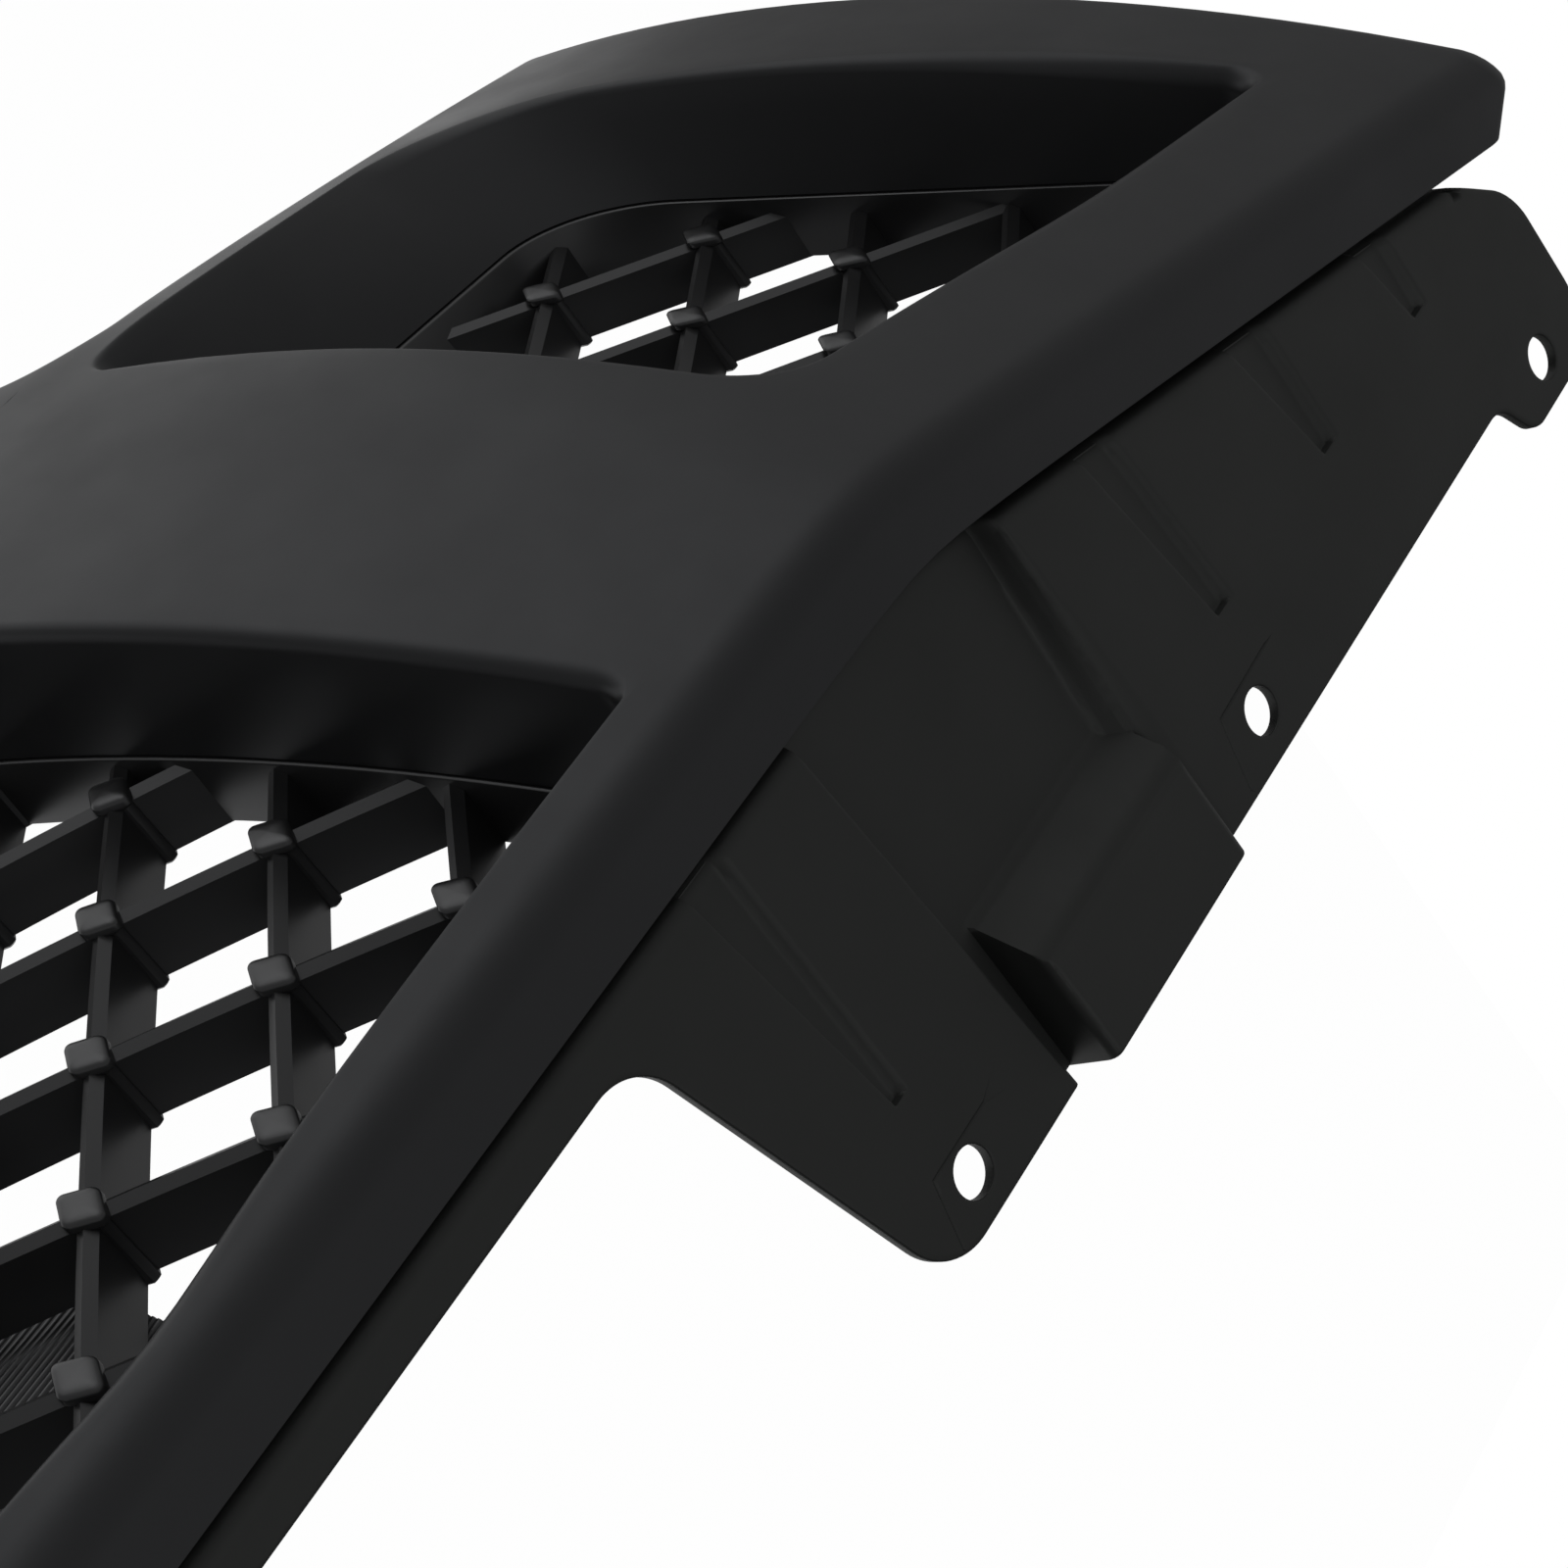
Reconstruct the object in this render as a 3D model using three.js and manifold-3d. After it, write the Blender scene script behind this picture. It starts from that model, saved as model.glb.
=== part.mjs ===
// Front grille of a pickup truck: a crowned, swept surround with three openings, three lattice
// inserts screwed in from behind, a top mounting panel and a ribbed badge backing plate.
// Millimetres. +Z is up, the grille faces -Y and is symmetric about X = 0.
// The origin is on the underside of the top mounting panel, at its middle.
import * as THREE from 'three';
import { mergeVertices } from 'three/addons/utils/BufferGeometryUtils.js';
import { ConvexGeometry } from 'three/addons/geometries/ConvexGeometry.js';
import Module from 'manifold-3d';

const wasm = await Module();
wasm.setup();

// ---------------------------------------------------------------- driving dimensions
const CLEARANCE = 0.3; // between pieces that touch
const FAR = 400; // beyond the whole grille, for cutting solids

// front surface of the surround: crowned from top to bottom, swept back outboard of the struts
const CROWN_RADIUS = 460;
const CROWN_APEX_Z = -312;
const CROWN_APEX_Y = -137;
const SWEEP_START_X = 255;
const SWEEP_SLOPE = 0.265;
const SWEEP_BLEND = 16;

// outline of the surround, seen from the front
const TOP_Z = 4;
const END_TOP_X = 532;
const END_BOTTOM_X = 494;
const END_BOTTOM_Z = -292;
const NOTCH_X = 245; // where the wing's lower edge meets the strut
const NOTCH_Z = -221;
const FOOT_X = 226; // lower outboard corner of the strut
const BOTTOM_Z = -312;
const STRUT_AXIS_TOP_X = 236;
const STRUT_AXIS_NOTCH_X = 190;
const TOP_CORNER_RADIUS = 10;
const END_CORNER_RADIUS = 9;
const NOTCH_RADIUS = 26;
const FOOT_RADIUS = 24;

// the three openings, seen from the front
const CENTRE_TOP_Z = -12;
const CENTRE_TOP_HALF = 180;
const CENTRE_BOTTOM_Z = -262;
const CENTRE_BOTTOM_HALF = 121;
const CENTRE_TOP_RADIUS = 7;
const CENTRE_BOTTOM_RADIUS = 26;
// wing opening: corners [X, Z, radius] clockwise from the inner top, at the front face and at the rear
const WING_FRONT = [[287, -36, 24], [486, -36, 9], [419, -250, 50], [244, -204, 8]];
const WING_REAR = [[289.5, -40, 22], [482.3, -40, 8], [413.6, -221, 42], [256, -208, 13]];

// section of the surround
const WALL = 3;
const COVER = 1.2; // skin left over the roots of bosses and tongues
const RIM_RADIUS = 5; // front edge of each opening
const CREASE_RADIUS = 8; // outer edge of the front face
const SKIRT_DEPTH = 19; // outer wall, from the front face to its rear edge
const SKIRT_RISE = 1.4; // the outer wall spreads this much towards the rear
const RECESS_DEPTH = 38; // front face to the rear edge of the opening's wall, at the centre
const SKIRT_END_TUCK = 16; // but leans inboard at the grille's two ends
const CENTRE_DRAFT = 1.5;

// lattice inserts
// blade fronts behind the inserts' front edges
const CENTRE_SET_BACK = 1.7;
const WING_SET_BACK = 5;
const CENTRE_PITCH_X = 34; // half diagonals of the diamonds
const CENTRE_PITCH_Z = 23;
const CENTRE_PHASE_Z = -95.1;
const WING_PITCH_X = 41.2;
const WING_PITCH_Z = 22.7;
const WING_PHASE_X = 373.3;
const WING_PHASE_Z = -202.2;
const WING_PLANE_X = 350;
const WING_PLANE_Z = -128;
const WING_PLANE_Y = -17; // blade fronts at that point
const WING_PLANE_SWEEP = 0.159;
const WING_PLANE_LEAN = 0.452;
const BLADE_WIDTH = 4.4;
const CENTRE_BLADE_DEPTH = 18;
const CENTRE_REAR_Y = 13.5; // the centre insert ends here at the latest, under the panel's strip
const WING_BLADE_DEPTH = 16;
const KNOB_RISE = 2;
const KNOB_DEPTH = 1; // knobs reach this far behind the blades' fronts
const KNOB_RADIUS = 5.6; // half diagonal of a knob
const POST_RADIUS = 4.8;
const POST_SIDES = 4;
const POST_TAIL = 1.2; // posts stand this far behind the blades
const INSERT_WALL = 2.2;
const INSERT_FLANGE = 2; // thickness of the screw ears
const EAR_RADIUS = 5;
const EAR_ROOT = 6; // half width where an ear meets the insert's wall
const BLADE_TAPER = 0.8; // rear width of a blade over its front width

// bosses and screws
const BOSS_RADIUS = 4.2;
const BOSS_OFFSET = 8.2; // boss axis from the opening's edge
const SCREW_RADIUS = 1.8;
const SCREW_HEAD_RATIO = 1.9; // head radius over shank radius
const SCREW_HEAD_HEIGHT = 2.2;
const SCREW_LENGTH = 11;
const SCREW_SIDES = 6;

// top mounting panel
const PANEL_THICKNESS = 3;
const PANEL_FRONT_Y = -7.3;
const PANEL_REAR_Y = 107;
const PANEL_STRIP_REAR_Y = 7;
const PANEL_LIP = 7.5; // turned-down front lip
const PANEL_LIP_WALL = 2.4;
const PANEL_END_X = 479;
const CUTOUT_FRONT_X = 113;
const CUTOUT_FRONT_RADIUS = 17;
const CUTOUT_REAR_X = 140;
const CUTOUT_REAR_RADIUS = 19;
const HOLE_RADIUS = 6.3;
const HOLE_CENTRES = [[162, 95], [315, 94], [477, 110]];
const EAR_LOBE = [[503, 72, 20], [503, 122, 20], [459, 122, 9], [451, 107, 9]]; // X, Y, radius
const POCKET = { frontInner: 193, frontOuter: 272, rearInner: 200.5, rearOuter: 265.5, drop: 7, wall: 3 };
const LATCH_BOX = { inner: 208, outer: 277, frontY: 62, crestY: 74, rearY: 108, rise: 8, wall: 2.4 };
// shallow wedges sunk in the panel, open at its front edge: X limits at the mouth and at the tip
const DARTS = [{ mouth: [147, 162], tip: [156.5, 161.5] }, { mouth: [312, 325], tip: [321, 328.5] },
  { mouth: [375, 391], tip: [384, 391] }, { mouth: [435, 448], tip: [441, 447.5] }];
const DART_TIP_Y = 68;
const DART_DROP = 1.8;
const DART_DRAFT = 0.8; // floor's edges inside the upper edges
const PANEL_SCREW_XS = [60, 168, 330, 440];
const PANEL_SCREW_Z = -4;

// badge backing plate behind the centre lattice
const PLATE_HALF_X = 27.3;
const PLATE_TOP_Z = -62;
const PLATE_BOTTOM_Z = -172;
const PLATE_THICKNESS = 2.5;
const RIB_PITCH = 10;
const RIB_HEIGHT = 1;
const PLATE_SCREW_RADIUS = 1.3;
const PLATE_SCREW_LENGTH = 12;
const PLATE_STANDOFF = 2.6; // keeps the leaning plate clear of the posts' square ends
const PLATE_HEAD_ROOM = 1.5;

// spring clips on the lower tongues
const TONGUE_XS = [70, 380];
const TONGUE = { width: 14, length: 15, thickness: 2.6, rise: 5 };
const CLIP = { width: 12, length: 12, sheet: 0.8 };

// ---------------------------------------------------------------- surfaces
function sweep(x) {
  const beyond = Math.abs(x) - SWEEP_START_X;
  return SWEEP_SLOPE * 0.5 * (beyond + Math.hypot(beyond, SWEEP_BLEND));
}

function frontY(x, z) {
  return CROWN_APEX_Y + (z - CROWN_APEX_Z) ** 2 / (2 * CROWN_RADIUS) + sweep(x);
}

// front edge of the inserts, which is also the rear edge of the openings' walls
function centreSeatY(x, z) {
  return frontY(0, z) + RECESS_DEPTH;
}

function wingSeatY(x, z) {
  const out = WING_PLANE_SWEEP * (Math.abs(x) - WING_PLANE_X);
  return WING_PLANE_Y + out + WING_PLANE_LEAN * (z - WING_PLANE_Z) - WING_SET_BACK;
}

// ---------------------------------------------------------------- outlines in the X-Z plane
const CORNER_STEPS = 2; // steps in each half of a corner
const SPREAD = 12; // length of the steps beside a sharp corner

const pt = (x, z) => new THREE.Vector2(x, z);

function crossing(a, b, c, d) {
  const r = b.clone().sub(a);
  const s = d.clone().sub(c);
  const t = c.clone().sub(a).cross(s) / r.cross(s);
  return a.clone().addScaledVector(r, t);
}

// the line a-b moved sideways by d; a positive d moves it to its right
function shifted(a, b, d) {
  const side = b.clone().sub(a).normalize();
  const normal = pt(side.y, -side.x).multiplyScalar(d);
  return [a.clone().add(normal), b.clone().add(normal)];
}

// points over a rounded corner at p, from the line a-p to the line p-b
function rounded(a, p, b, radius) {
  const u = a.clone().sub(p).normalize();
  const v = b.clone().sub(p).normalize();
  const half = Math.acos(THREE.MathUtils.clamp(u.dot(v), -1, 1)) / 2;
  const centre = p.clone().addScaledVector(u.clone().add(v).normalize(), radius / Math.sin(half));
  const start = p.clone().addScaledVector(u, radius / Math.tan(half)).sub(centre);
  const turn = (Math.PI - 2 * half) * Math.sign(v.cross(u));
  const points = [];
  for (let i = 0; i <= 2 * CORNER_STEPS; i += 1) {
    points.push(start.clone().rotateAround(pt(0, 0), (turn * i) / (2 * CORNER_STEPS)).add(centre));
  }
  return points;
}

// the same number of points over a sharp corner or a straight joint
function sharp(a, p, b) {
  const u = a.clone().sub(p).normalize();
  const v = b.clone().sub(p).normalize();
  const points = [];
  for (let i = 0; i <= 2 * CORNER_STEPS; i += 1) {
    const along = (i - CORNER_STEPS) / CORNER_STEPS;
    points.push(p.clone().addScaledVector(along < 0 ? u : v, Math.abs(along) * SPREAD));
  }
  return points;
}

// joins the corners' points with straight sides cut into equal steps
function closeLoop(corners, steps) {
  const loop = [];
  corners.forEach((corner, k) => {
    loop.push(...corner);
    const a = corner[corner.length - 1];
    const b = corners[(k + 1) % corners.length][0];
    for (let i = 1; i < steps[k]; i += 1) {
      loop.push(a.clone().lerp(b, i / steps[k]));
    }
  });
  return loop;
}

const STRUT_JOINT = pt(STRUT_AXIS_NOTCH_X, NOTCH_Z - 12);
const strutAxis = [pt(STRUT_AXIS_TOP_X, TOP_Z), STRUT_JOINT];

// corners of the outline moved inwards by d, for the half with positive X
function outlineCorners(d, endD) {
  const top = shifted(pt(0, TOP_Z), pt(END_TOP_X, TOP_Z), d);
  const end = shifted(pt(END_TOP_X, TOP_Z), pt(END_BOTTOM_X, END_BOTTOM_Z), endD);
  const wing = shifted(pt(END_BOTTOM_X, END_BOTTOM_Z), pt(NOTCH_X, NOTCH_Z), d);
  const foot = shifted(pt(NOTCH_X, NOTCH_Z), pt(FOOT_X, BOTTOM_Z), d);
  const bottom = shifted(pt(FOOT_X, BOTTOM_Z), pt(0, BOTTOM_Z), d);
  return {
    strut: crossing(...strutAxis, ...top),
    topEnd: crossing(...top, ...end),
    bottomEnd: crossing(...end, ...wing),
    notch: crossing(...wing, ...foot),
    foot: crossing(...foot, ...bottom),
  };
}

const CENTRE_STEPS = { top: 4, strut: 5, joint: 1, foot: 1, bottom: 3 };
const WING_STEPS = { top: 4, end: 4, wing: 3, joint: 1, strut: 5 };
const CENTRE_SIDES = ['strut', 'joint', 'foot', 'bottom', 'foot', 'joint', 'strut', 'top']
  .map((side) => CENTRE_STEPS[side]);

// boundary of the centre cell, clockwise from its upper left corner as seen with +X to the right
function centreBoundary(d) {
  const c = outlineCorners(d, d);
  const notch = rounded(c.bottomEnd, c.notch, c.foot, NOTCH_RADIUS + d);
  const middle = notch[CORNER_STEPS];
  const left = (p) => pt(-p.x, p.y);
  const inward = sharp(STRUT_JOINT, middle, c.foot).slice(0, CORNER_STEPS);
  const right = [
    sharp(left(c.strut), c.strut, STRUT_JOINT),
    sharp(c.strut, STRUT_JOINT, middle),
    [...inward, ...notch.slice(CORNER_STEPS)],
    rounded(c.notch, c.foot, left(c.foot), FOOT_RADIUS - d),
  ];
  const mirrored = right.map((corner) => corner.map(left).reverse()).reverse();
  return closeLoop([...right, ...mirrored], CENTRE_SIDES);
}

// boundary of the wing cell on the positive X side, clockwise from the strut's top
function wingBoundary(d, endD = d) {
  const c = outlineCorners(d, endD);
  const notch = rounded(c.bottomEnd, c.notch, c.foot, NOTCH_RADIUS + d);
  const middle = notch[CORNER_STEPS];
  const outward = sharp(c.bottomEnd, middle, STRUT_JOINT).slice(CORNER_STEPS + 1);
  const s = WING_STEPS;
  return closeLoop([
    sharp(STRUT_JOINT, c.strut, c.topEnd),
    rounded(c.strut, c.topEnd, c.bottomEnd, TOP_CORNER_RADIUS - d),
    rounded(c.topEnd, c.bottomEnd, c.notch, END_CORNER_RADIUS - d),
    [...notch.slice(0, CORNER_STEPS + 1), ...outward],
    sharp(middle, STRUT_JOINT, c.strut),
  ], [s.top, s.end, s.wing, s.joint, s.strut]);
}

// upper and lower right corners of the centre opening moved outwards by d
function centreCorners(d) {
  const left = (p) => pt(-p.x, p.y);
  const topRight = pt(CENTRE_TOP_HALF, CENTRE_TOP_Z);
  const bottomRight = pt(CENTRE_BOTTOM_HALF, CENTRE_BOTTOM_Z);
  const top = shifted(left(topRight), topRight, -d);
  const side = shifted(topRight, bottomRight, -d);
  const bottom = shifted(bottomRight, left(bottomRight), -d);
  return [crossing(...top, ...side), crossing(...side, ...bottom)];
}

// centre opening moved outwards by d
function centreOpening(d) {
  const left = (p) => pt(-p.x, p.y);
  const [a, b] = centreCorners(d);
  const right = [
    rounded(left(a), a, b, CENTRE_TOP_RADIUS + d),
    sharp(a, a.clone().lerp(b, 0.74), b),
    sharp(a, a.clone().lerp(b, 0.86), b),
    rounded(a, b, left(b), CENTRE_BOTTOM_RADIUS + d),
  ];
  const mirrored = right.map((corner) => corner.map(left).reverse()).reverse();
  return closeLoop([...right, ...mirrored], CENTRE_SIDES);
}

// corners of a wing outline with every side moved outwards by d
function wingCorners(outline, d) {
  const corners = outline.map(([x, z]) => pt(x, z));
  const sides = corners.map((a, i) => shifted(a, corners[(i + 1) % 4], -d));
  return sides.map((side, i) => crossing(...sides[(i + 3) % 4], ...side));
}

function wingOutline(outline, d) {
  const [a, b, c, e] = wingCorners(outline, d);
  const radius = outline.map(([, , r]) => r + d);
  const s = WING_STEPS;
  return closeLoop([
    rounded(e, a, b, radius[0]),
    rounded(a, b, c, radius[1]),
    rounded(b, c, e, radius[2]),
    rounded(c, e, a, radius[3]),
    sharp(e, e.clone().lerp(a, 0.36), a),
  ], [s.top, s.end, s.wing, s.joint, s.strut]);
}

const wingOpening = (d) => wingOutline(WING_FRONT, d);
const wingRear = (d) => wingOutline(WING_REAR, d);

// ---------------------------------------------------------------- solids
function geometryOf(points, triangles) {
  const geometry = new THREE.BufferGeometry();
  geometry.setAttribute('position', new THREE.Float32BufferAttribute(points.flat(), 3));
  geometry.setIndex(triangles.flat());
  return geometry;
}

function signedVolume(points, index) {
  const corner = (i) => new THREE.Vector3().fromArray(points, 3 * index[i]);
  let sum = 0;
  for (let i = 0; i < index.length; i += 3) {
    sum += corner(i).dot(corner(i + 1).cross(corner(i + 2)));
  }
  return sum / 6;
}

// a solid from closed geometry, turned the right way out whichever way its profile ran
function solid(geometry) {
  const bare = geometry.clone();
  bare.deleteAttribute('normal');
  bare.deleteAttribute('uv');
  const merged = mergeVertices(bare, 1e-3);
  const vertProperties = new Float32Array(merged.attributes.position.array);
  const triVerts = new Uint32Array(merged.index.array);
  if (signedVolume(vertProperties, triVerts) < 0) {
    for (let i = 0; i < triVerts.length; i += 3) {
      [triVerts[i], triVerts[i + 1]] = [triVerts[i + 1], triVerts[i]];
    }
  }
  return new wasm.Manifold(new wasm.Mesh({ numProp: 3, vertProperties, triVerts }));
}

function meshGeometry(body) {
  const mesh = body.getMesh();
  const geometry = new THREE.BufferGeometry();
  const points = new Float32Array(mesh.numVert * 3);
  for (let i = 0; i < mesh.numVert; i += 1) {
    for (let k = 0; k < 3; k += 1) {
      points[3 * i + k] = mesh.vertProperties[mesh.numProp * i + k];
    }
  }
  geometry.setAttribute('position', new THREE.BufferAttribute(points, 3));
  geometry.setIndex(new THREE.BufferAttribute(new Uint32Array(mesh.triVerts), 1));
  geometry.computeVertexNormals();
  return geometry;
}

const join = (bodies) => bodies.reduce((all, body) => all.add(body));

// a loop of X-Z points placed in space by a function that gives each point's Y
const placed = (loop, depth) => loop.map((p) => [p.x, depth(p.x, p.y), p.y]);
const mirroredX = (loop) => loop.map(([x, y, z]) => [-x, y, z]);

// a closed skin made of strips between rows of points
class Skin {
  constructor() {
    this.points = [];
    this.triangles = [];
  }

  strip(rowA, rowB, closed = true, flip = false) {
    const base = this.points.length;
    const n = rowA.length;
    this.points.push(...rowA, ...rowB);
    for (let i = 0; i < (closed ? n : n - 1); i += 1) {
      const j = (i + 1) % n;
      const quad = [[base + i, base + j, base + n + j], [base + i, base + n + j, base + n + i]];
      this.triangles.push(...(flip ? quad.map(([a, b, c]) => [a, c, b]) : quad));
    }
  }

  geometry() {
    const merged = mergeVertices(geometryOf(this.points, this.triangles), 1e-3);
    const index = [];
    for (let i = 0; i < merged.index.count; i += 3) {
      const [a, b, c] = [merged.index.getX(i), merged.index.getX(i + 1), merged.index.getX(i + 2)];
      if (a !== b && b !== c && c !== a) {
        index.push(a, b, c);
      }
    }
    merged.setIndex(index);
    return merged;
  }
}

// solid prism over an X-Z loop, from nearY to farY
function prism(loop, nearY, farY) {
  const depth = farY - nearY;
  const geometry = new THREE.ExtrudeGeometry(new THREE.Shape(loop), { depth, bevelEnabled: false });
  geometry.rotateX(Math.PI / 2);
  geometry.translate(0, farY, 0);
  return solid(geometry);
}

// cylinder along Y
function rodY(x, z, y0, y1, radius, sides) {
  const geometry = new THREE.CylinderGeometry(radius, radius, y1 - y0, sides);
  geometry.translate(x, (y0 + y1) / 2, z);
  return solid(geometry);
}

function box(x0, x1, y0, y1, z0, z1) {
  const geometry = new THREE.BoxGeometry(x1 - x0, y1 - y0, z1 - z0);
  geometry.translate((x0 + x1) / 2, (y0 + y1) / 2, (z0 + z1) / 2);
  return solid(geometry);
}

function hull(points) {
  return solid(new ConvexGeometry(points.map(([x, y, z]) => new THREE.Vector3(x, y, z))));
}

// ---------------------------------------------------------------- surround
const DIAGONAL = 1 - Math.SQRT1_2;
const deeper = (by) => (x, z) => frontY(x, z) + by;

// rows of the visible side and of the hidden side, from an opening's rear edge to the boundary
function cellRows(opening, rearOpening, boundary, seatY) {
  const rear = (x, z) => seatY(x, z) - CLEARANCE;
  const rimStep = RIM_RADIUS * DIAGONAL;
  const seen = [
    placed(rearOpening(0), rear),
    placed(opening(0), deeper(RIM_RADIUS)),
    placed(opening(rimStep), deeper(rimStep)),
    placed(opening(RIM_RADIUS), deeper(0)),
    placed(boundary(CREASE_RADIUS), deeper(0)),
  ];
  const hidden = [
    placed(rearOpening(WALL), rear),
    placed(opening(WALL), deeper(RIM_RADIUS + 1)),
    placed(boundary(CREASE_RADIUS), deeper(WALL)),
  ];
  return { seen, hidden };
}

function skirtRows(boundary) {
  const seen = [
    placed(boundary(CREASE_RADIUS), deeper(0)),
    placed(boundary(CREASE_RADIUS * DIAGONAL), deeper(CREASE_RADIUS * DIAGONAL)),
    placed(boundary(0), deeper(CREASE_RADIUS)),
    placed(boundary(-SKIRT_RISE, SKIRT_END_TUCK), deeper(SKIRT_DEPTH)),
  ];
  const hidden = [
    placed(boundary(CREASE_RADIUS), deeper(WALL)),
    placed(boundary(WALL), deeper(CREASE_RADIUS + 1)),
    placed(boundary(WALL - SKIRT_RISE, SKIRT_END_TUCK + WALL), deeper(SKIRT_DEPTH)),
  ];
  return { seen, hidden };
}

// the same rows for the space that bosses and tongues may fill: from just under the visible side
// straight back
function coreCellRows(opening, rearOpening, boundary, seatY) {
  const far = () => FAR;
  const seen = [
    placed(rearOpening(COVER), (x, z) => seatY(x, z) - CLEARANCE),
    placed(opening(COVER), deeper(RIM_RADIUS)),
    placed(opening(RIM_RADIUS), deeper(COVER)),
    placed(boundary(CREASE_RADIUS), deeper(COVER)),
  ];
  return { seen, hidden: [placed(rearOpening(COVER), far), placed(boundary(CREASE_RADIUS), far)] };
}

function coreSkirtRows(boundary) {
  const far = () => FAR;
  const rim = boundary(COVER - SKIRT_RISE, SKIRT_END_TUCK + COVER);
  const seen = [
    placed(boundary(CREASE_RADIUS), deeper(COVER)),
    placed(boundary(COVER), deeper(CREASE_RADIUS)),
    placed(rim, deeper(SKIRT_DEPTH)),
  ];
  return { seen, hidden: [placed(boundary(CREASE_RADIUS), far), placed(rim, far)] };
}

function addRows(skin, rows, closed, flip) {
  for (let i = 1; i < rows.seen.length; i += 1) {
    skin.strip(rows.seen[i - 1], rows.seen[i], closed, flip);
  }
  for (let i = 1; i < rows.hidden.length; i += 1) {
    skin.strip(rows.hidden[i - 1], rows.hidden[i], closed, !flip);
  }
}

function mapRows(rows, change) {
  return { seen: rows.seen.map(change), hidden: rows.hidden.map(change) };
}

// the whole surround, sewn together from its centre cell, two wing cells and outer walls
function sewn(makeCell, makeSkirt) {
  const skin = new Skin();
  const corner = 2 * CORNER_STEPS;
  const centreRear = (d) => centreOpening(d - CENTRE_DRAFT);
  const centre = makeCell(centreOpening, centreRear, centreBoundary, centreSeatY);
  const wing = makeCell(wingOpening, wingRear, wingBoundary, wingSeatY);
  const wingSkirt = makeSkirt(wingBoundary);
  const centreSkirt = makeSkirt(centreBoundary);

  // the wing's outer run goes from the strut's top to the middle of the notch
  const w = WING_STEPS;
  const wingRun = (row) => row.slice(CORNER_STEPS, CORNER_STEPS + 3 * corner + w.top + w.end + w.wing + 1);
  // the centre's outer runs are the top edge and the foot from notch to notch
  const c = CENTRE_STEPS;
  const notchAt = CORNER_STEPS + 2 * corner + c.strut + c.joint;
  const footRun = (row) => row.slice(notchAt, notchAt + 3 * corner + 2 * c.foot + c.bottom + 1);
  const topRun = (row) => [...row.slice(-c.top - CORNER_STEPS), ...row.slice(0, CORNER_STEPS + 1)];

  addRows(skin, centre, true, false);
  skin.strip(centre.hidden[0], centre.seen[0], true, false);
  for (const run of [topRun, footRun]) {
    const rows = mapRows(centreSkirt, run);
    addRows(skin, rows, false, false);
    skin.strip(rows.seen.at(-1), rows.hidden.at(-1), false, false);
  }
  for (const side of [1, -1]) {
    const flip = side < 0;
    const change = flip ? mirroredX : (row) => row;
    const cell = mapRows(wing, change);
    addRows(skin, cell, true, flip);
    skin.strip(cell.hidden[0], cell.seen[0], true, flip);
    const rows = mapRows(wingSkirt, (row) => change(wingRun(row)));
    addRows(skin, rows, false, flip);
    skin.strip(rows.seen.at(-1), rows.hidden.at(-1), false, flip);
  }
  return solid(skin.geometry());
}

// ---------------------------------------------------------------- screw seats
// a seat on the side a-b: the point on the edge and the screw's axis outside it
function seatOn(a, b, share, seatY) {
  const edge = a.clone().lerp(b, share);
  const along = b.clone().sub(a).normalize();
  const axis = edge.clone().add(pt(-along.y, along.x).multiplyScalar(BOSS_OFFSET));
  const faceY = Math.max(seatY(axis.x, axis.y + EAR_RADIUS), seatY(axis.x + EAR_RADIUS, axis.y),
    seatY(edge.x + EAR_ROOT, edge.y + EAR_ROOT));
  return { edge, along, axis, faceY };
}

const mirroredSeat = ({ edge, along, axis, faceY }) => ({
  edge: pt(-edge.x, edge.y), along: pt(-along.x, along.y), axis: pt(-axis.x, axis.y), faceY,
});

// which side of the wing opening a seat is on (0 is the top, then clockwise) and how far along it
const WING_SEATS = [{ side: 0, share: 0.16 }, { side: 0, share: 0.8 }, { side: 2, share: 0.5 },
  { side: 3, share: 0.5 }];
const [centreTopCorner, centreBottomCorner] = centreCorners(-CENTRE_DRAFT);
const centreRightSeats = [
  seatOn(centreTopCorner, centreBottomCorner, 0.2, centreSeatY),
  seatOn(centreTopCorner, centreBottomCorner, 0.7, centreSeatY),
  seatOn(centreBottomCorner, pt(-centreBottomCorner.x, centreBottomCorner.y), 0.28, centreSeatY),
];
const centreSeats = [...centreRightSeats, ...centreRightSeats.map(mirroredSeat)];
const wingRearCorners = wingCorners(WING_REAR, 0);
const wingSeats = WING_SEATS.map(({ side, share }) => (
  seatOn(wingRearCorners[side], wingRearCorners[(side + 1) % 4], share, wingSeatY)));

// ---------------------------------------------------------------- fasteners
// screw along Y with its head at the rear, clear of the face at faceY
function screw(x, z, faceY, radius, length) {
  const head = radius * SCREW_HEAD_RATIO;
  const top = length + SCREW_HEAD_HEIGHT;
  const profile = [[0, 0], [radius, radius], [radius, length], [head, length],
    [head, length + SCREW_HEAD_HEIGHT / 2], [head * 0.6, top], [0, top]];
  const geometry = new THREE.LatheGeometry(profile.map(([r, h]) => new THREE.Vector2(r, h)), SCREW_SIDES);
  geometry.translate(x, faceY + CLEARANCE - length, z);
  return solid(geometry);
}

function springClip(x, z, rearY) {
  const inner = { x: TONGUE.width / 2 + 1, z: TONGUE.thickness / 2 + CLEARANCE };
  const half = CLIP.width / 2;
  const tip = rearY + CLEARANCE;
  const outside = box(x - half, x + half, tip - CLIP.length, tip + CLIP.sheet,
    z - inner.z - CLIP.sheet, z + inner.z + CLIP.sheet);
  const mouth = tip - CLIP.length - 1;
  return outside.subtract(box(x - inner.x, x + inner.x, mouth, tip, z - inner.z, z + inner.z));
}

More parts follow.
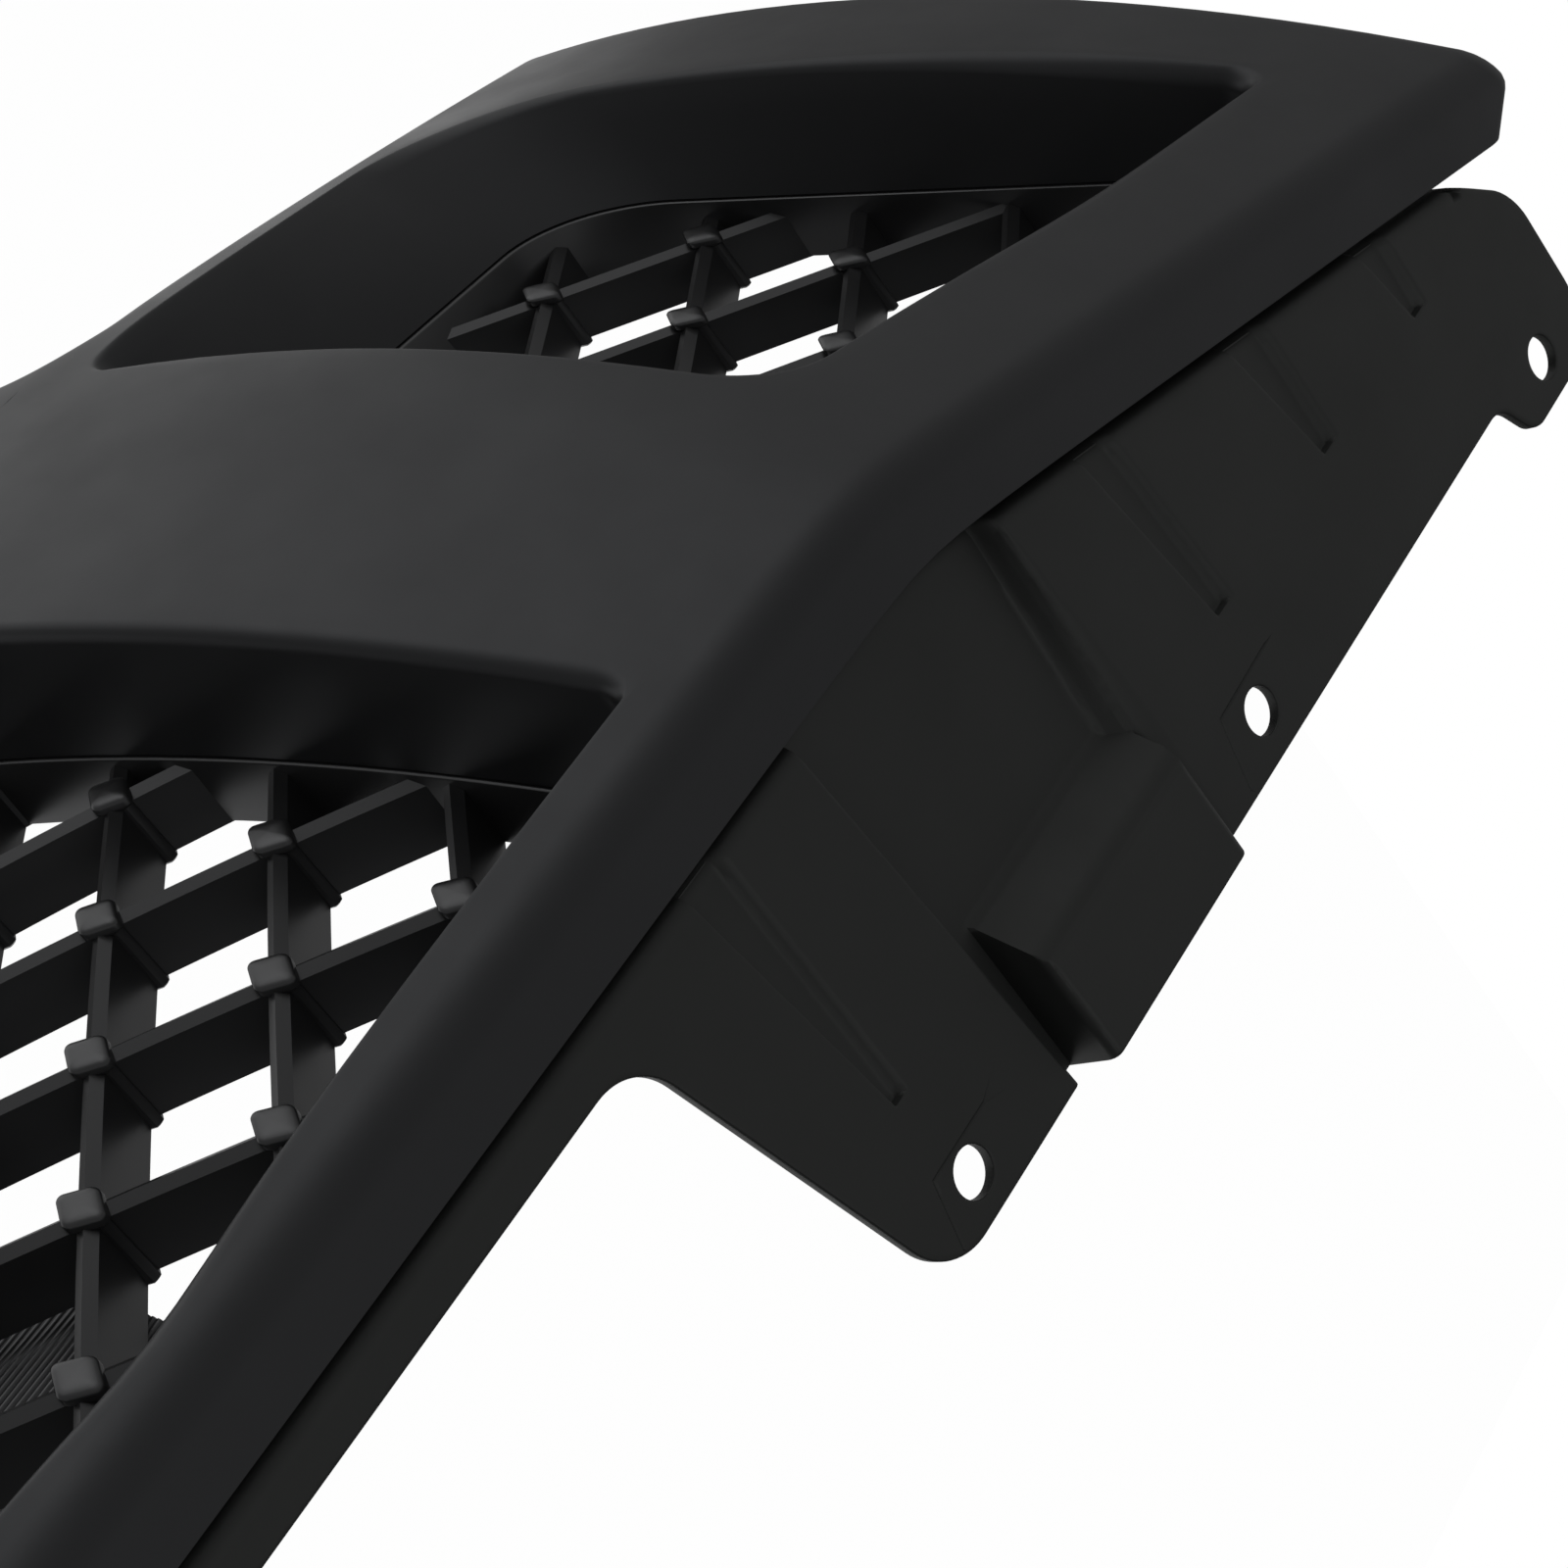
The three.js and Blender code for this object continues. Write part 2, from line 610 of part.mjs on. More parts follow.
// ---------------------------------------------------------------- surround frame
const lipFrontY = (x) => PANEL_FRONT_Y + sweep(x);
const slopeRoom = SWEEP_SLOPE * BOSS_RADIUS;

function boss(x, z, endY, holeRadius) {
  const start = frontY(x, z);
  const hole = rodY(x, z, endY - SCREW_LENGTH, endY + 1, holeRadius + CLEARANCE, SCREW_SIDES);
  return { body: rodY(x, z, start, endY, BOSS_RADIUS, SCREW_SIDES), hole };
}

function tongueAt(x) {
  const wingZ = NOTCH_Z + ((Math.abs(x) - NOTCH_X) * (END_BOTTOM_Z - NOTCH_Z)) / (END_BOTTOM_X - NOTCH_X);
  const z = (Math.abs(x) < FOOT_X ? BOTTOM_Z : wingZ) + TONGUE.rise;
  return { x, z, rearY: frontY(x, z) + SKIRT_DEPTH + TONGUE.length };
}

const tongues = TONGUE_XS.flatMap((x) => [tongueAt(x), tongueAt(-x)]);
const allInsertSeats = [...centreSeats, ...wingSeats, ...wingSeats.map(mirroredSeat)];
const panelScrewXs = PANEL_SCREW_XS.flatMap((x) => [x, -x]);

function surroundFrame() {
  const insertBosses = allInsertSeats.map(({ axis, faceY }) => (
    boss(axis.x, axis.y, faceY - CLEARANCE, SCREW_RADIUS)));
  const panelBosses = panelScrewXs.map((x) => (
    boss(x, PANEL_SCREW_Z, lipFrontY(x) - CLEARANCE - slopeRoom, SCREW_RADIUS)));
  const bosses = [...insertBosses, ...panelBosses];
  const solids = tongues.map(({ x, z, rearY }) => (
    box(x - TONGUE.width / 2, x + TONGUE.width / 2, frontY(x, z), rearY,
      z - TONGUE.thickness / 2, z + TONGUE.thickness / 2)));
  const core = sewn(coreCellRows, coreSkirtRows);
  const added = join([...bosses.map((b) => b.body), ...solids]).intersect(core);
  return sewn(cellRows, skirtRows).add(added).subtract(join(bosses.map((b) => b.hole)));
}

// ---------------------------------------------------------------- lattice inserts
// blade along a straight run of X-Z points, its section square to the run
function blade(run, faceY, depth) {
  const along = run.at(-1).clone().sub(run[0]).normalize();
  const across = pt(-along.y, along.x);
  const half = BLADE_WIDTH / 2;
  const section = [[-half, 0], [half, 0], [half * BLADE_TAPER, depth], [-half * BLADE_TAPER, depth]];
  const rows = run.map((p) => section.map(([side, back]) => (
    [p.x + across.x * side, faceY(p.x, p.y) + back, p.y + across.y * side])));
  const n = section.length;
  const triangles = [];
  for (let r = 1; r < rows.length; r += 1) {
    for (let i = 0; i < n; i += 1) {
      const [a, b] = [(r - 1) * n + i, (r - 1) * n + ((i + 1) % n)];
      triangles.push([a, b, b + n], [a, b + n, a + n]);
    }
  }
  const last = (rows.length - 1) * n;
  for (let i = 1; i < n - 1; i += 1) {
    triangles.push([0, i + 1, i], [last, last + i, last + i + 1]);
  }
  return solid(geometryOf(rows.flat(), triangles));
}

// post at a crossing, a diamond in section, with a wider knob standing proud of the blades
function post(x, z, faceY, depth) {
  const y = faceY(x, z);
  const knob = rodY(x, z, y - KNOB_RISE, y + KNOB_DEPTH, KNOB_RADIUS, POST_SIDES);
  return knob.add(rodY(x, z, y, y + depth + POST_TAIL, POST_RADIUS, POST_SIDES));
}

// crossings of the lattice inside a box of X and Z, as whole-number steps
function crossings(lattice, bounds) {
  const found = [];
  const steps = (low, high, origin, pitch) => (
    [Math.ceil((low - origin) / pitch), Math.floor((high - origin) / pitch)]);
  const [m0, m1] = steps(bounds.x0, bounds.x1, lattice.x, lattice.pitchX);
  const [n0, n1] = steps(bounds.z0, bounds.z1, lattice.z, lattice.pitchZ);
  for (let m = m0; m <= m1; m += 1) {
    for (let n = n0; n <= n1; n += 1) {
      if ((m + n) % 2 === 0) {
        found.push({ m, n, at: pt(lattice.x + m * lattice.pitchX, lattice.z + n * lattice.pitchZ) });
      }
    }
  }
  return found;
}

// runs of crossings along one diagonal; kept whole where the blades are curved
function runsOf(nodes, key, straight) {
  const lines = new Map();
  nodes.forEach((node) => lines.set(key(node), [...(lines.get(key(node)) ?? []), node.at]));
  const runs = [...lines.values()].filter((run) => run.length > 1);
  return straight ? runs.map((run) => [run[0], run.at(-1)]) : runs;
}

function inside(point, loop) {
  let odd = false;
  loop.forEach((a, i) => {
    const b = loop[(i + 1) % loop.length];
    if (a.y > point.y !== b.y > point.y
      && point.x < a.x + ((point.y - a.y) * (b.x - a.x)) / (b.y - a.y)) {
      odd = !odd;
    }
  });
  return odd;
}

function insertWall(outline, seatY, depth) {
  const rear = (x, z) => seatY(x, z) + depth;
  const ledge = (x, z) => seatY(x, z) + INSERT_FLANGE;
  const rows = [
    placed(outline(WALL), seatY),
    placed(outline(WALL), ledge),
    placed(outline(0), ledge),
    placed(outline(0), rear),
    placed(outline(-INSERT_WALL), rear),
    placed(outline(-INSERT_WALL), seatY),
  ];
  const skin = new Skin();
  rows.forEach((row, i) => skin.strip(row, rows[(i + 1) % rows.length], true, true));
  return solid(skin.geometry());
}

// screw ear: a flat disc round the screw's axis, tied to the insert's wall
function ear({ edge, along, axis, faceY }) {
  const outline = [];
  for (let i = 0; i < SCREW_SIDES; i += 1) {
    const turn = (2 * Math.PI * i) / SCREW_SIDES;
    outline.push(axis.clone().add(pt(EAR_RADIUS, 0).rotateAround(pt(0, 0), turn)));
  }
  const root = edge.clone().addScaledVector(edge.clone().sub(axis).normalize(), INSERT_WALL / 2);
  outline.push(...[-EAR_ROOT, EAR_ROOT].map((reach) => root.clone().addScaledVector(along, reach)));
  return hull(outline.flatMap((p) => [[p.x, faceY, p.y], [p.x, faceY + INSERT_FLANGE, p.y]]));
}

function latticeInsert({
  outline, seatY, lattice, setBack, depth, rearY, seats, straight, drilled,
}) {
  const faceY = (x, z) => seatY(x, z) + setBack;
  const clip = outline(-INSERT_WALL / 2);
  const xs = clip.map((p) => p.x);
  const zs = clip.map((p) => p.y);
  const bounds = {
    x0: Math.min(...xs) - lattice.pitchX, x1: Math.max(...xs) + lattice.pitchX,
    z0: Math.min(...zs) - lattice.pitchZ, z1: Math.max(...zs) + lattice.pitchZ,
  };
  const nodes = crossings(lattice, bounds);
  const runs = [({ m, n }) => m - n, ({ m, n }) => m + n].flatMap((key) => runsOf(nodes, key, straight));
  const posts = nodes.filter(({ at }) => inside(at, outline(POST_RADIUS)));
  const bars = [
    ...runs.map((run) => blade(run, faceY, depth)),
    ...posts.map(({ at }) => post(at.x, at.y, faceY, depth)),
  ];
  const trimmed = join(bars).intersect(prism(clip, -FAR, FAR));
  const wall = insertWall(outline, seatY, setBack + depth);
  const ears = seats.map(ear);
  const holes = seats.map(({ axis, faceY: y }) => (
    rodY(axis.x, axis.y, y - 1, y + INSERT_FLANGE + 8, SCREW_RADIUS + CLEARANCE, SCREW_SIDES)));
  return join([trimmed, wall, ...ears])
    .trimByPlane([0, -1, 0], -rearY)
    .subtract(join([...holes, ...drilled]));
}

const centreLattice = { x: 0, z: CENTRE_PHASE_Z, pitchX: CENTRE_PITCH_X, pitchZ: CENTRE_PITCH_Z };
const wingLattice = { x: WING_PHASE_X, z: WING_PHASE_Z, pitchX: WING_PITCH_X, pitchZ: WING_PITCH_Z };

// ---------------------------------------------------------------- badge backing plate
const plateFrontY = (z) => (
  centreSeatY(0, z) + CENTRE_SET_BACK + CENTRE_BLADE_DEPTH + POST_TAIL + PLATE_STANDOFF);
// the plate is flat from its top edge to its bottom edge, behind the crowned lattice
function plateY(z) {
  const share = (z - PLATE_BOTTOM_Z) / (PLATE_TOP_Z - PLATE_BOTTOM_Z);
  return THREE.MathUtils.lerp(plateFrontY(PLATE_BOTTOM_Z), plateFrontY(PLATE_TOP_Z), share);
}
const plateScrews = [0, -2].map((n) => pt(0, CENTRE_PHASE_Z + n * CENTRE_PITCH_Z));
const plateHole = (p, ahead, behind) => (
  rodY(p.x, p.y, plateY(p.y) - ahead, plateY(p.y) + behind, PLATE_SCREW_RADIUS + CLEARANCE, SCREW_SIDES));
const plateDrills = () => plateScrews.map((p) => plateHole(p, PLATE_SCREW_LENGTH, 1));

function badgePlate() {
  const slab = (x0, x1, z0, z1, front, back) => hull([x0, x1].flatMap((x) => [z0, z1].flatMap((z) => (
    [[x, plateY(z) + front, z], [x, plateY(z) + back, z]]))));
  const bodies = [slab(-PLATE_HALF_X, PLATE_HALF_X, PLATE_BOTTOM_Z, PLATE_TOP_Z, 0, PLATE_THICKNESS)];
  for (let z = PLATE_BOTTOM_Z + RIB_PITCH; z < PLATE_TOP_Z - 1; z += RIB_PITCH) {
    const rib = [PLATE_THICKNESS / 2, PLATE_THICKNESS + RIB_HEIGHT];
    bodies.push(slab(-PLATE_HALF_X, PLATE_HALF_X, z - RIB_HEIGHT, z + RIB_HEIGHT, ...rib));
  }
  const past = 2 * (PLATE_THICKNESS + RIB_HEIGHT);
  return join(bodies).subtract(join(plateScrews.map((p) => plateHole(p, past, past))));
}

// ---------------------------------------------------------------- top mounting panel
const extrudeZ = (loop, z0, z1) => {
  const depth = z1 - z0;
  const geometry = new THREE.ExtrudeGeometry(new THREE.Shape(loop), { depth, bevelEnabled: false });
  geometry.translate(0, 0, z0);
  return solid(geometry);
};

const FRONT_XS = [0, ...[-18, -7, 0, 7, 18].map((x) => SWEEP_START_X + x), PANEL_END_X];

function panelOutline() {
  const front = FRONT_XS.map((x) => pt(x, lipFrontY(x)));
  const [lobeOuter, lobeRear, lobeInner, lobeRoot] = EAR_LOBE.map(([x, y, r]) => ({ p: pt(x, y), r }));
  const chain = [{ p: front.at(-1) }, lobeOuter, lobeRear, lobeInner, lobeRoot,
    { p: pt(CUTOUT_REAR_X, PANEL_REAR_Y), r: CUTOUT_REAR_RADIUS },
    { p: pt(CUTOUT_FRONT_X, PANEL_STRIP_REAR_Y), r: CUTOUT_FRONT_RADIUS },
    { p: pt(0, PANEL_STRIP_REAR_Y) }];
  const half = [...front];
  for (let i = 1; i < chain.length - 1; i += 1) {
    half.push(...rounded(chain[i - 1].p, chain[i].p, chain[i + 1].p, chain[i].r));
  }
  return [...half, ...half.slice(1).reverse().map((p) => pt(-p.x, p.y))];
}

function frontLip(side) {
  const xs = FRONT_XS.map((x) => side * x);
  const near = xs.map((x) => pt(x, lipFrontY(x)));
  const far = xs.map((x) => pt(x, lipFrontY(x) + PANEL_LIP_WALL)).reverse();
  return extrudeZ([...near, ...far], -PANEL_LIP, PANEL_THICKNESS / 2);
}

function pocketQuad(side, grow) {
  const front = lipFrontY(POCKET.frontInner) - 5;
  const rear = PANEL_REAR_Y + 1;
  return [
    pt(side * (POCKET.frontInner - grow), front),
    pt(side * (POCKET.frontOuter + grow), front),
    pt(side * (POCKET.rearOuter + grow), rear),
    pt(side * (POCKET.rearInner - grow), rear),
  ];
}

// raised box over the pocket's rear; shrunk, it is the hollow inside, open below
function latchBox(side, shrink) {
  const b = LATCH_BOX;
  const floor = PANEL_THICKNESS - POCKET.drop - (shrink ? POCKET.wall + 1 : 0);
  const top = PANEL_THICKNESS + b.rise - shrink;
  const profile = [
    [b.frontY + 1.4 * shrink, floor],
    [b.crestY + shrink, top],
    [b.rearY - shrink, top],
    [b.rearY - shrink, floor],
  ];
  const xs = [b.inner + shrink, b.outer - shrink];
  return hull(xs.flatMap((x) => profile.map(([y, z]) => [side * x, y, z])));
}

// the hollow of a dart
function dart({ mouth, tip }, side) {
  const floor = PANEL_THICKNESS - DART_DROP;
  const front = lipFrontY(mouth[0]) - 5;
  const run = (front - DART_TIP_Y) / (lipFrontY(mouth[0]) - DART_TIP_Y);
  const atFront = (k) => THREE.MathUtils.lerp(tip[k], mouth[k], run);
  const section = (x0, x1, y, z, draft) => [[x0 + draft, y, z], [x1 - draft, y, z]];
  const rise = 2 * DART_DROP; // cuts well above the panel, on the same slant
  const slant = (DART_DRAFT * (rise - DART_DROP)) / DART_DROP;
  const points = [
    ...section(atFront(0), atFront(1), front, floor, DART_DRAFT),
    ...section(atFront(0), atFront(1), front, floor + rise, -slant),
    ...section(tip[0], tip[1], DART_TIP_Y - DART_DRAFT, floor, DART_DRAFT),
    ...section(tip[0], tip[1], DART_TIP_Y + slant, floor + rise, -slant),
  ];
  return hull(points.map(([x, y, z]) => [side * x, y, z]));
}

function mountingPanel() {
  const outline = panelOutline();
  const plate = extrudeZ(outline, 0, PANEL_THICKNESS);
  const floorTop = PANEL_THICKNESS - POCKET.drop;
  const floorBottom = floorTop - POCKET.wall;
  const territory = extrudeZ(outline, floorBottom - 1, PANEL_THICKNESS);
  const sides = [1, -1];
  const trays = sides.map((side) => extrudeZ(pocketQuad(side, POCKET.wall), floorBottom, PANEL_THICKNESS)
    .intersect(territory));
  const hollows = sides.map((side) => extrudeZ(pocketQuad(side, 0), floorTop, PANEL_THICKNESS + 20));
  const boxes = sides.map((side) => latchBox(side, 0));
  const boxHollows = sides.map((side) => latchBox(side, LATCH_BOX.wall));
  const darts = DARTS.flatMap((d) => sides.map((side) => dart(d, side)));
  const holes = HOLE_CENTRES.flatMap(([x, y]) => sides.map((side) => {
    const geometry = new THREE.CylinderGeometry(HOLE_RADIUS, HOLE_RADIUS, 20, 16);
    geometry.rotateX(Math.PI / 2);
    geometry.translate(side * x, y, 0);
    return solid(geometry);
  }));
  const screwHoles = panelScrewXs.map((x) => {
    const front = lipFrontY(x);
    const [y0, y1] = [front - 3, front + PANEL_LIP_WALL + 3];
    return rodY(x, PANEL_SCREW_Z, y0, y1, SCREW_RADIUS + CLEARANCE, SCREW_SIDES);
  });
  const tray = join([plate, ...trays, ...sides.map(frontLip)]).subtract(join([...hollows, ...darts]));
  return join([tray, ...boxes]).subtract(join([...boxHollows, ...holes, ...screwHoles]));
}

// ---------------------------------------------------------------- assembly
const blackPlastic = new THREE.MeshStandardMaterial({ color: 0x1b1c1d, roughness: 0.55, metalness: 0 });
const blackMesh = new THREE.MeshStandardMaterial({ color: 0x1d1e1f, roughness: 0.5, metalness: 0 });
const zincSteel = new THREE.MeshStandardMaterial({ color: 0x9a9c9e, roughness: 0.35, metalness: 1 });

const grille = new THREE.Group();
function addPiece(name, body, material) {
  const mesh = new THREE.Mesh(meshGeometry(body), material);
  mesh.name = name;
  grille.add(mesh);
}

// a copy reflected across X = 0, for the handed pieces
function reflected(body) {
  const geometry = meshGeometry(body);
  geometry.scale(-1, 1, 1);
  return solid(geometry);
}

addPiece('surround_frame', surroundFrame(), blackPlastic);
addPiece('mesh_insert_centre', latticeInsert({
  outline: (d) => centreOpening(d - CENTRE_DRAFT),
  seatY: centreSeatY,
  lattice: centreLattice,
  setBack: CENTRE_SET_BACK,
  depth: CENTRE_BLADE_DEPTH,
  rearY: CENTRE_REAR_Y,
  seats: centreSeats,
  straight: false,
  drilled: plateDrills(),
}), blackMesh);
const wingInsert = latticeInsert({
  outline: wingRear,
  seatY: wingSeatY,
  lattice: wingLattice,
  setBack: WING_SET_BACK,
  depth: WING_BLADE_DEPTH,
  rearY: FAR,
  seats: wingSeats,
  straight: true,
  drilled: [],
});
addPiece('mesh_insert_left', wingInsert, blackMesh);
addPiece('mesh_insert_right', reflected(wingInsert), blackMesh);
addPiece('top_mounting_panel', mountingPanel(), blackPlastic);
addPiece('badge_backing_plate', badgePlate(), blackMesh);

const addRow = (name, items, make, material) => (
  items.forEach((item, i) => addPiece(`${name}_${i + 1}`, make(item), material)));
const insertScrew = ({ axis, faceY }) => (
  screw(axis.x, axis.y, faceY + INSERT_FLANGE, SCREW_RADIUS, SCREW_LENGTH));
const panelScrew = (x) => (
  screw(x, PANEL_SCREW_Z, lipFrontY(x) + PANEL_LIP_WALL + slopeRoom, SCREW_RADIUS, SCREW_LENGTH));
const plateScrewSeat = PLATE_THICKNESS + RIB_HEIGHT + PLATE_HEAD_ROOM;
const plateScrew = (p) => (
  screw(p.x, p.y, plateY(p.y) + plateScrewSeat, PLATE_SCREW_RADIUS, PLATE_SCREW_LENGTH));
addRow('centre_insert_screw', centreSeats, insertScrew, zincSteel);
addRow('left_insert_screw', wingSeats, insertScrew, zincSteel);
addRow('right_insert_screw', wingSeats.map(mirroredSeat), insertScrew, zincSteel);
addRow('panel_screw', panelScrewXs, panelScrew, zincSteel);
addRow('badge_plate_screw', plateScrews, plateScrew, zincSteel);
addRow('lower_spring_clip', tongues, ({ x, z, rearY }) => springClip(x, z, rearY), zincSteel);

export default grille;
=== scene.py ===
"""Looks of the front grille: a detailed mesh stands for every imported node, in the same frame.

Lengths in the mesh code are millimetres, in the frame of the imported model: +Z up, the grille
faces -Y, symmetric about X = 0, origin on the underside of the top panel. Meshes are scaled to
metres as they are made.
"""
import math

import bmesh
import bpy
import numpy as np
from mathutils import Matrix, Vector
from mathutils.bvhtree import BVHTree
from mathutils.geometry import delaunay_2d_cdt

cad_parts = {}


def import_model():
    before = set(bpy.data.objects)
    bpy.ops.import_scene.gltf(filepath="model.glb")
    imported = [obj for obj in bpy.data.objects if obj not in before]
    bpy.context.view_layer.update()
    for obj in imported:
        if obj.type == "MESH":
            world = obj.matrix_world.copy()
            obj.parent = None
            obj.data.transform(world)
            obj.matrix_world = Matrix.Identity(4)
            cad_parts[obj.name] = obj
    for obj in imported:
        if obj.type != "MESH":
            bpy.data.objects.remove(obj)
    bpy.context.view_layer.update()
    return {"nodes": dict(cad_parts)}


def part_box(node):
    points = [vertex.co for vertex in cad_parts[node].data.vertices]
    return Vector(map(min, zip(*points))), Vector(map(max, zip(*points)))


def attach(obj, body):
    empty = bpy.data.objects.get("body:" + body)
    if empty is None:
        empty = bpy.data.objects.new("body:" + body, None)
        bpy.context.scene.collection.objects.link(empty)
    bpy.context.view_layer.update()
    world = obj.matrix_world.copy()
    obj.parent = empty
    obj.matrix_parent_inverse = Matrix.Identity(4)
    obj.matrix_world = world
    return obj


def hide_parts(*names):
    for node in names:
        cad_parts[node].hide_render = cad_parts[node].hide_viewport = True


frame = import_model()
MM = 0.001

# ---------------------------------------------------------------- driving dimensions
CLEARANCE = 0.3
CROWN_RADIUS, CROWN_APEX_Z, CROWN_APEX_Y = 460, -312, -136.95
SWEEP_START_X, SWEEP_SLOPE, SWEEP_BLEND = 255, 0.265, 16
TOP_Z, BOTTOM_Z = 4, -312
END_TOP_X, END_BOTTOM_X, END_BOTTOM_Z = 532, 494, -292
NOTCH_X, NOTCH_Z, FOOT_X = 245, -221, 226
STRUT_AXIS_TOP_X, STRUT_AXIS_NOTCH_X, STRUT_JOINT_DROP = 236, 190, 12
TOP_CORNER_RADIUS, END_CORNER_RADIUS, NOTCH_RADIUS, FOOT_RADIUS = 10, 9, 26, 24
CENTRE_TOP_Z, CENTRE_TOP_HALF, CENTRE_BOTTOM_Z, CENTRE_BOTTOM_HALF = -12, 180, -262, 121
CENTRE_TOP_RADIUS, CENTRE_BOTTOM_RADIUS = 7, 26
# corners of a wing's opening as (X, Z, radius), clockwise from the inner top one
WING_FRONT = ((287, -36, 24), (486, -36, 9), (419, -250, 50), (244, -204, 8))
WING_REAR = ((289.5, -40, 22), (482.3, -40, 8), (413.6, -221, 42), (256, -208, 13))
WALL, RIM_RADIUS, CREASE_RADIUS = 3, 5, 8
SKIRT_DEPTH, SKIRT_RISE, SKIRT_END_TUCK = 19, 1.4, 16
RECESS_DEPTH, CENTRE_DRAFT = 38, 1.5
CENTRE_LATTICE = {"x": 0, "z": -95.1, "pitch_x": 34, "pitch_z": 23,
                  "set_back": 1.7, "depth": 18, "rear_y": 13.5}
WING_LATTICE = {"x": 373.3, "z": -202.2, "pitch_x": 41.2, "pitch_z": 22.7,
                "set_back": 5, "depth": 16, "rear_y": 200}
WING_PLANE = {"x": 350, "y": -17, "z": -128, "sweep": 0.159, "lean": 0.452}
POST_TAIL = 1.2
BOSS_RADIUS, BOSS_OFFSET, EAR_RADIUS, EAR_ROOT, EAR_THICKNESS = 4.2, 8.2, 5, 6, 2
SCREW_RADIUS, SCREW_LENGTH = 1.8, 11
PANEL_FRONT_Y, PANEL_LIP_WALL, PANEL_SCREW_Z = -7.3, 2.4, -4
TONGUE = {"width": 14, "length": 15, "thickness": 2.6, "rise": 5}
EDGE_BREAK = 0.4  # small chamfer on hidden edges

CS = 8  # steps in each half of a corner
CORNER_REACH = 12  # how far an unrounded corner's points spread along its sides
CENTRE_STEPS = {"top": 40, "strut": 20, "joint": 3, "foot": 6, "bottom": 36}
WING_STEPS = {"top": 28, "end": 26, "wing": 24, "joint": 3, "strut": 20}
# where a side gets a corner's points without a corner: share of the way down it
CENTRE_SIDE_STATIONS, WING_STRUT_STATION = (0.74, 0.86), 0.36


# ---------------------------------------------------------------- surfaces
def sweep(x):
    beyond = np.abs(x) - SWEEP_START_X
    return SWEEP_SLOPE * 0.5 * (beyond + np.hypot(beyond, SWEEP_BLEND))


def front_y(x, z):
    return CROWN_APEX_Y + (z - CROWN_APEX_Z) ** 2 / (2 * CROWN_RADIUS) + sweep(x)


def centre_seat_y(x, z):
    return front_y(0, z) + RECESS_DEPTH + 0 * x


def wing_seat_y(x, z):
    p = WING_PLANE
    plane_y = p["y"] + p["sweep"] * (np.abs(x) - p["x"]) + p["lean"] * (z - p["z"])
    return plane_y - WING_LATTICE["set_back"]


def lip_front_y(x):
    return PANEL_FRONT_Y + sweep(x)


# ---------------------------------------------------------------- outlines in the X-Z plane
def pt(x, z):
    return np.array([x, z], float)


def unit(v):
    return v / np.linalg.norm(v)


def cross(a, b):
    return a[0] * b[1] - a[1] * b[0]


def crossing(line, other):
    (a, b), (c, d) = line, other
    return a + (b - a) * cross(c - a, d - c) / cross(b - a, d - c)


def shifted(a, b, d):
    """The line a-b moved to its right by d."""
    side = unit(b - a)
    normal = pt(side[1], -side[0]) * d
    return a + normal, b + normal


def rounded(a, p, b, radius, steps=CS):
    """Points of the arc that rounds the corner at p, coming from a and going to b."""
    u, v = unit(a - p), unit(b - p)
    half = math.acos(max(-1, min(1, u @ v))) / 2
    centre = p + unit(u + v) * radius / math.sin(half)
    start = p + u * radius / math.tan(half) - centre
    turn = (math.pi - 2 * half) * np.sign(cross(v, u))
    points = []
    for i in range(2 * steps + 1):
        c, s = math.cos(turn * i / (2 * steps)), math.sin(turn * i / (2 * steps))
        points.append(centre + pt(c * start[0] - s * start[1], s * start[0] + c * start[1]))
    return points


def sharp(a, p, b):
    """As many points as a rounded corner has, along both sides of an unrounded one."""
    u, v = unit(a - p), unit(b - p)
    along = [(i - CS) / CS for i in range(2 * CS + 1)]
    return [p + (u if t < 0 else v) * abs(t) * CORNER_REACH for t in along]


def close_loop(corners, steps):
    loop = []
    for k, corner in enumerate(corners):
        loop.extend(corner)
        a, b = corner[-1], corners[(k + 1) % len(corners)][0]
        loop.extend(a + (b - a) * i / steps[k] for i in range(1, steps[k]))
    return np.array(loop)


def left(p):
    return pt(-p[0], p[1])


def with_mirror(right):
    return right + [[left(p) for p in reversed(corner)] for corner in reversed(right)]


STRUT_JOINT = pt(STRUT_AXIS_NOTCH_X, NOTCH_Z - STRUT_JOINT_DROP)
STRUT_AXIS = (pt(STRUT_AXIS_TOP_X, TOP_Z), STRUT_JOINT)
CENTRE_SIDES = [CENTRE_STEPS[side] for side in
                ("strut", "joint", "foot", "bottom", "foot", "joint", "strut", "top")]
WING_SIDES = [WING_STEPS[side] for side in ("top", "end", "wing", "joint", "strut")]


def outline_corners(d, end_d):
    """Corners of the surround's outline, moved in by d, or by end_d at the wing's end."""
    top = shifted(pt(0, TOP_Z), pt(END_TOP_X, TOP_Z), d)
    end = shifted(pt(END_TOP_X, TOP_Z), pt(END_BOTTOM_X, END_BOTTOM_Z), end_d)
    wing = shifted(pt(END_BOTTOM_X, END_BOTTOM_Z), pt(NOTCH_X, NOTCH_Z), d)
    foot = shifted(pt(NOTCH_X, NOTCH_Z), pt(FOOT_X, BOTTOM_Z), d)
    bottom = shifted(pt(FOOT_X, BOTTOM_Z), pt(0, BOTTOM_Z), d)
    return (crossing(STRUT_AXIS, top), crossing(top, end), crossing(end, wing),
            crossing(wing, foot), crossing(foot, bottom))


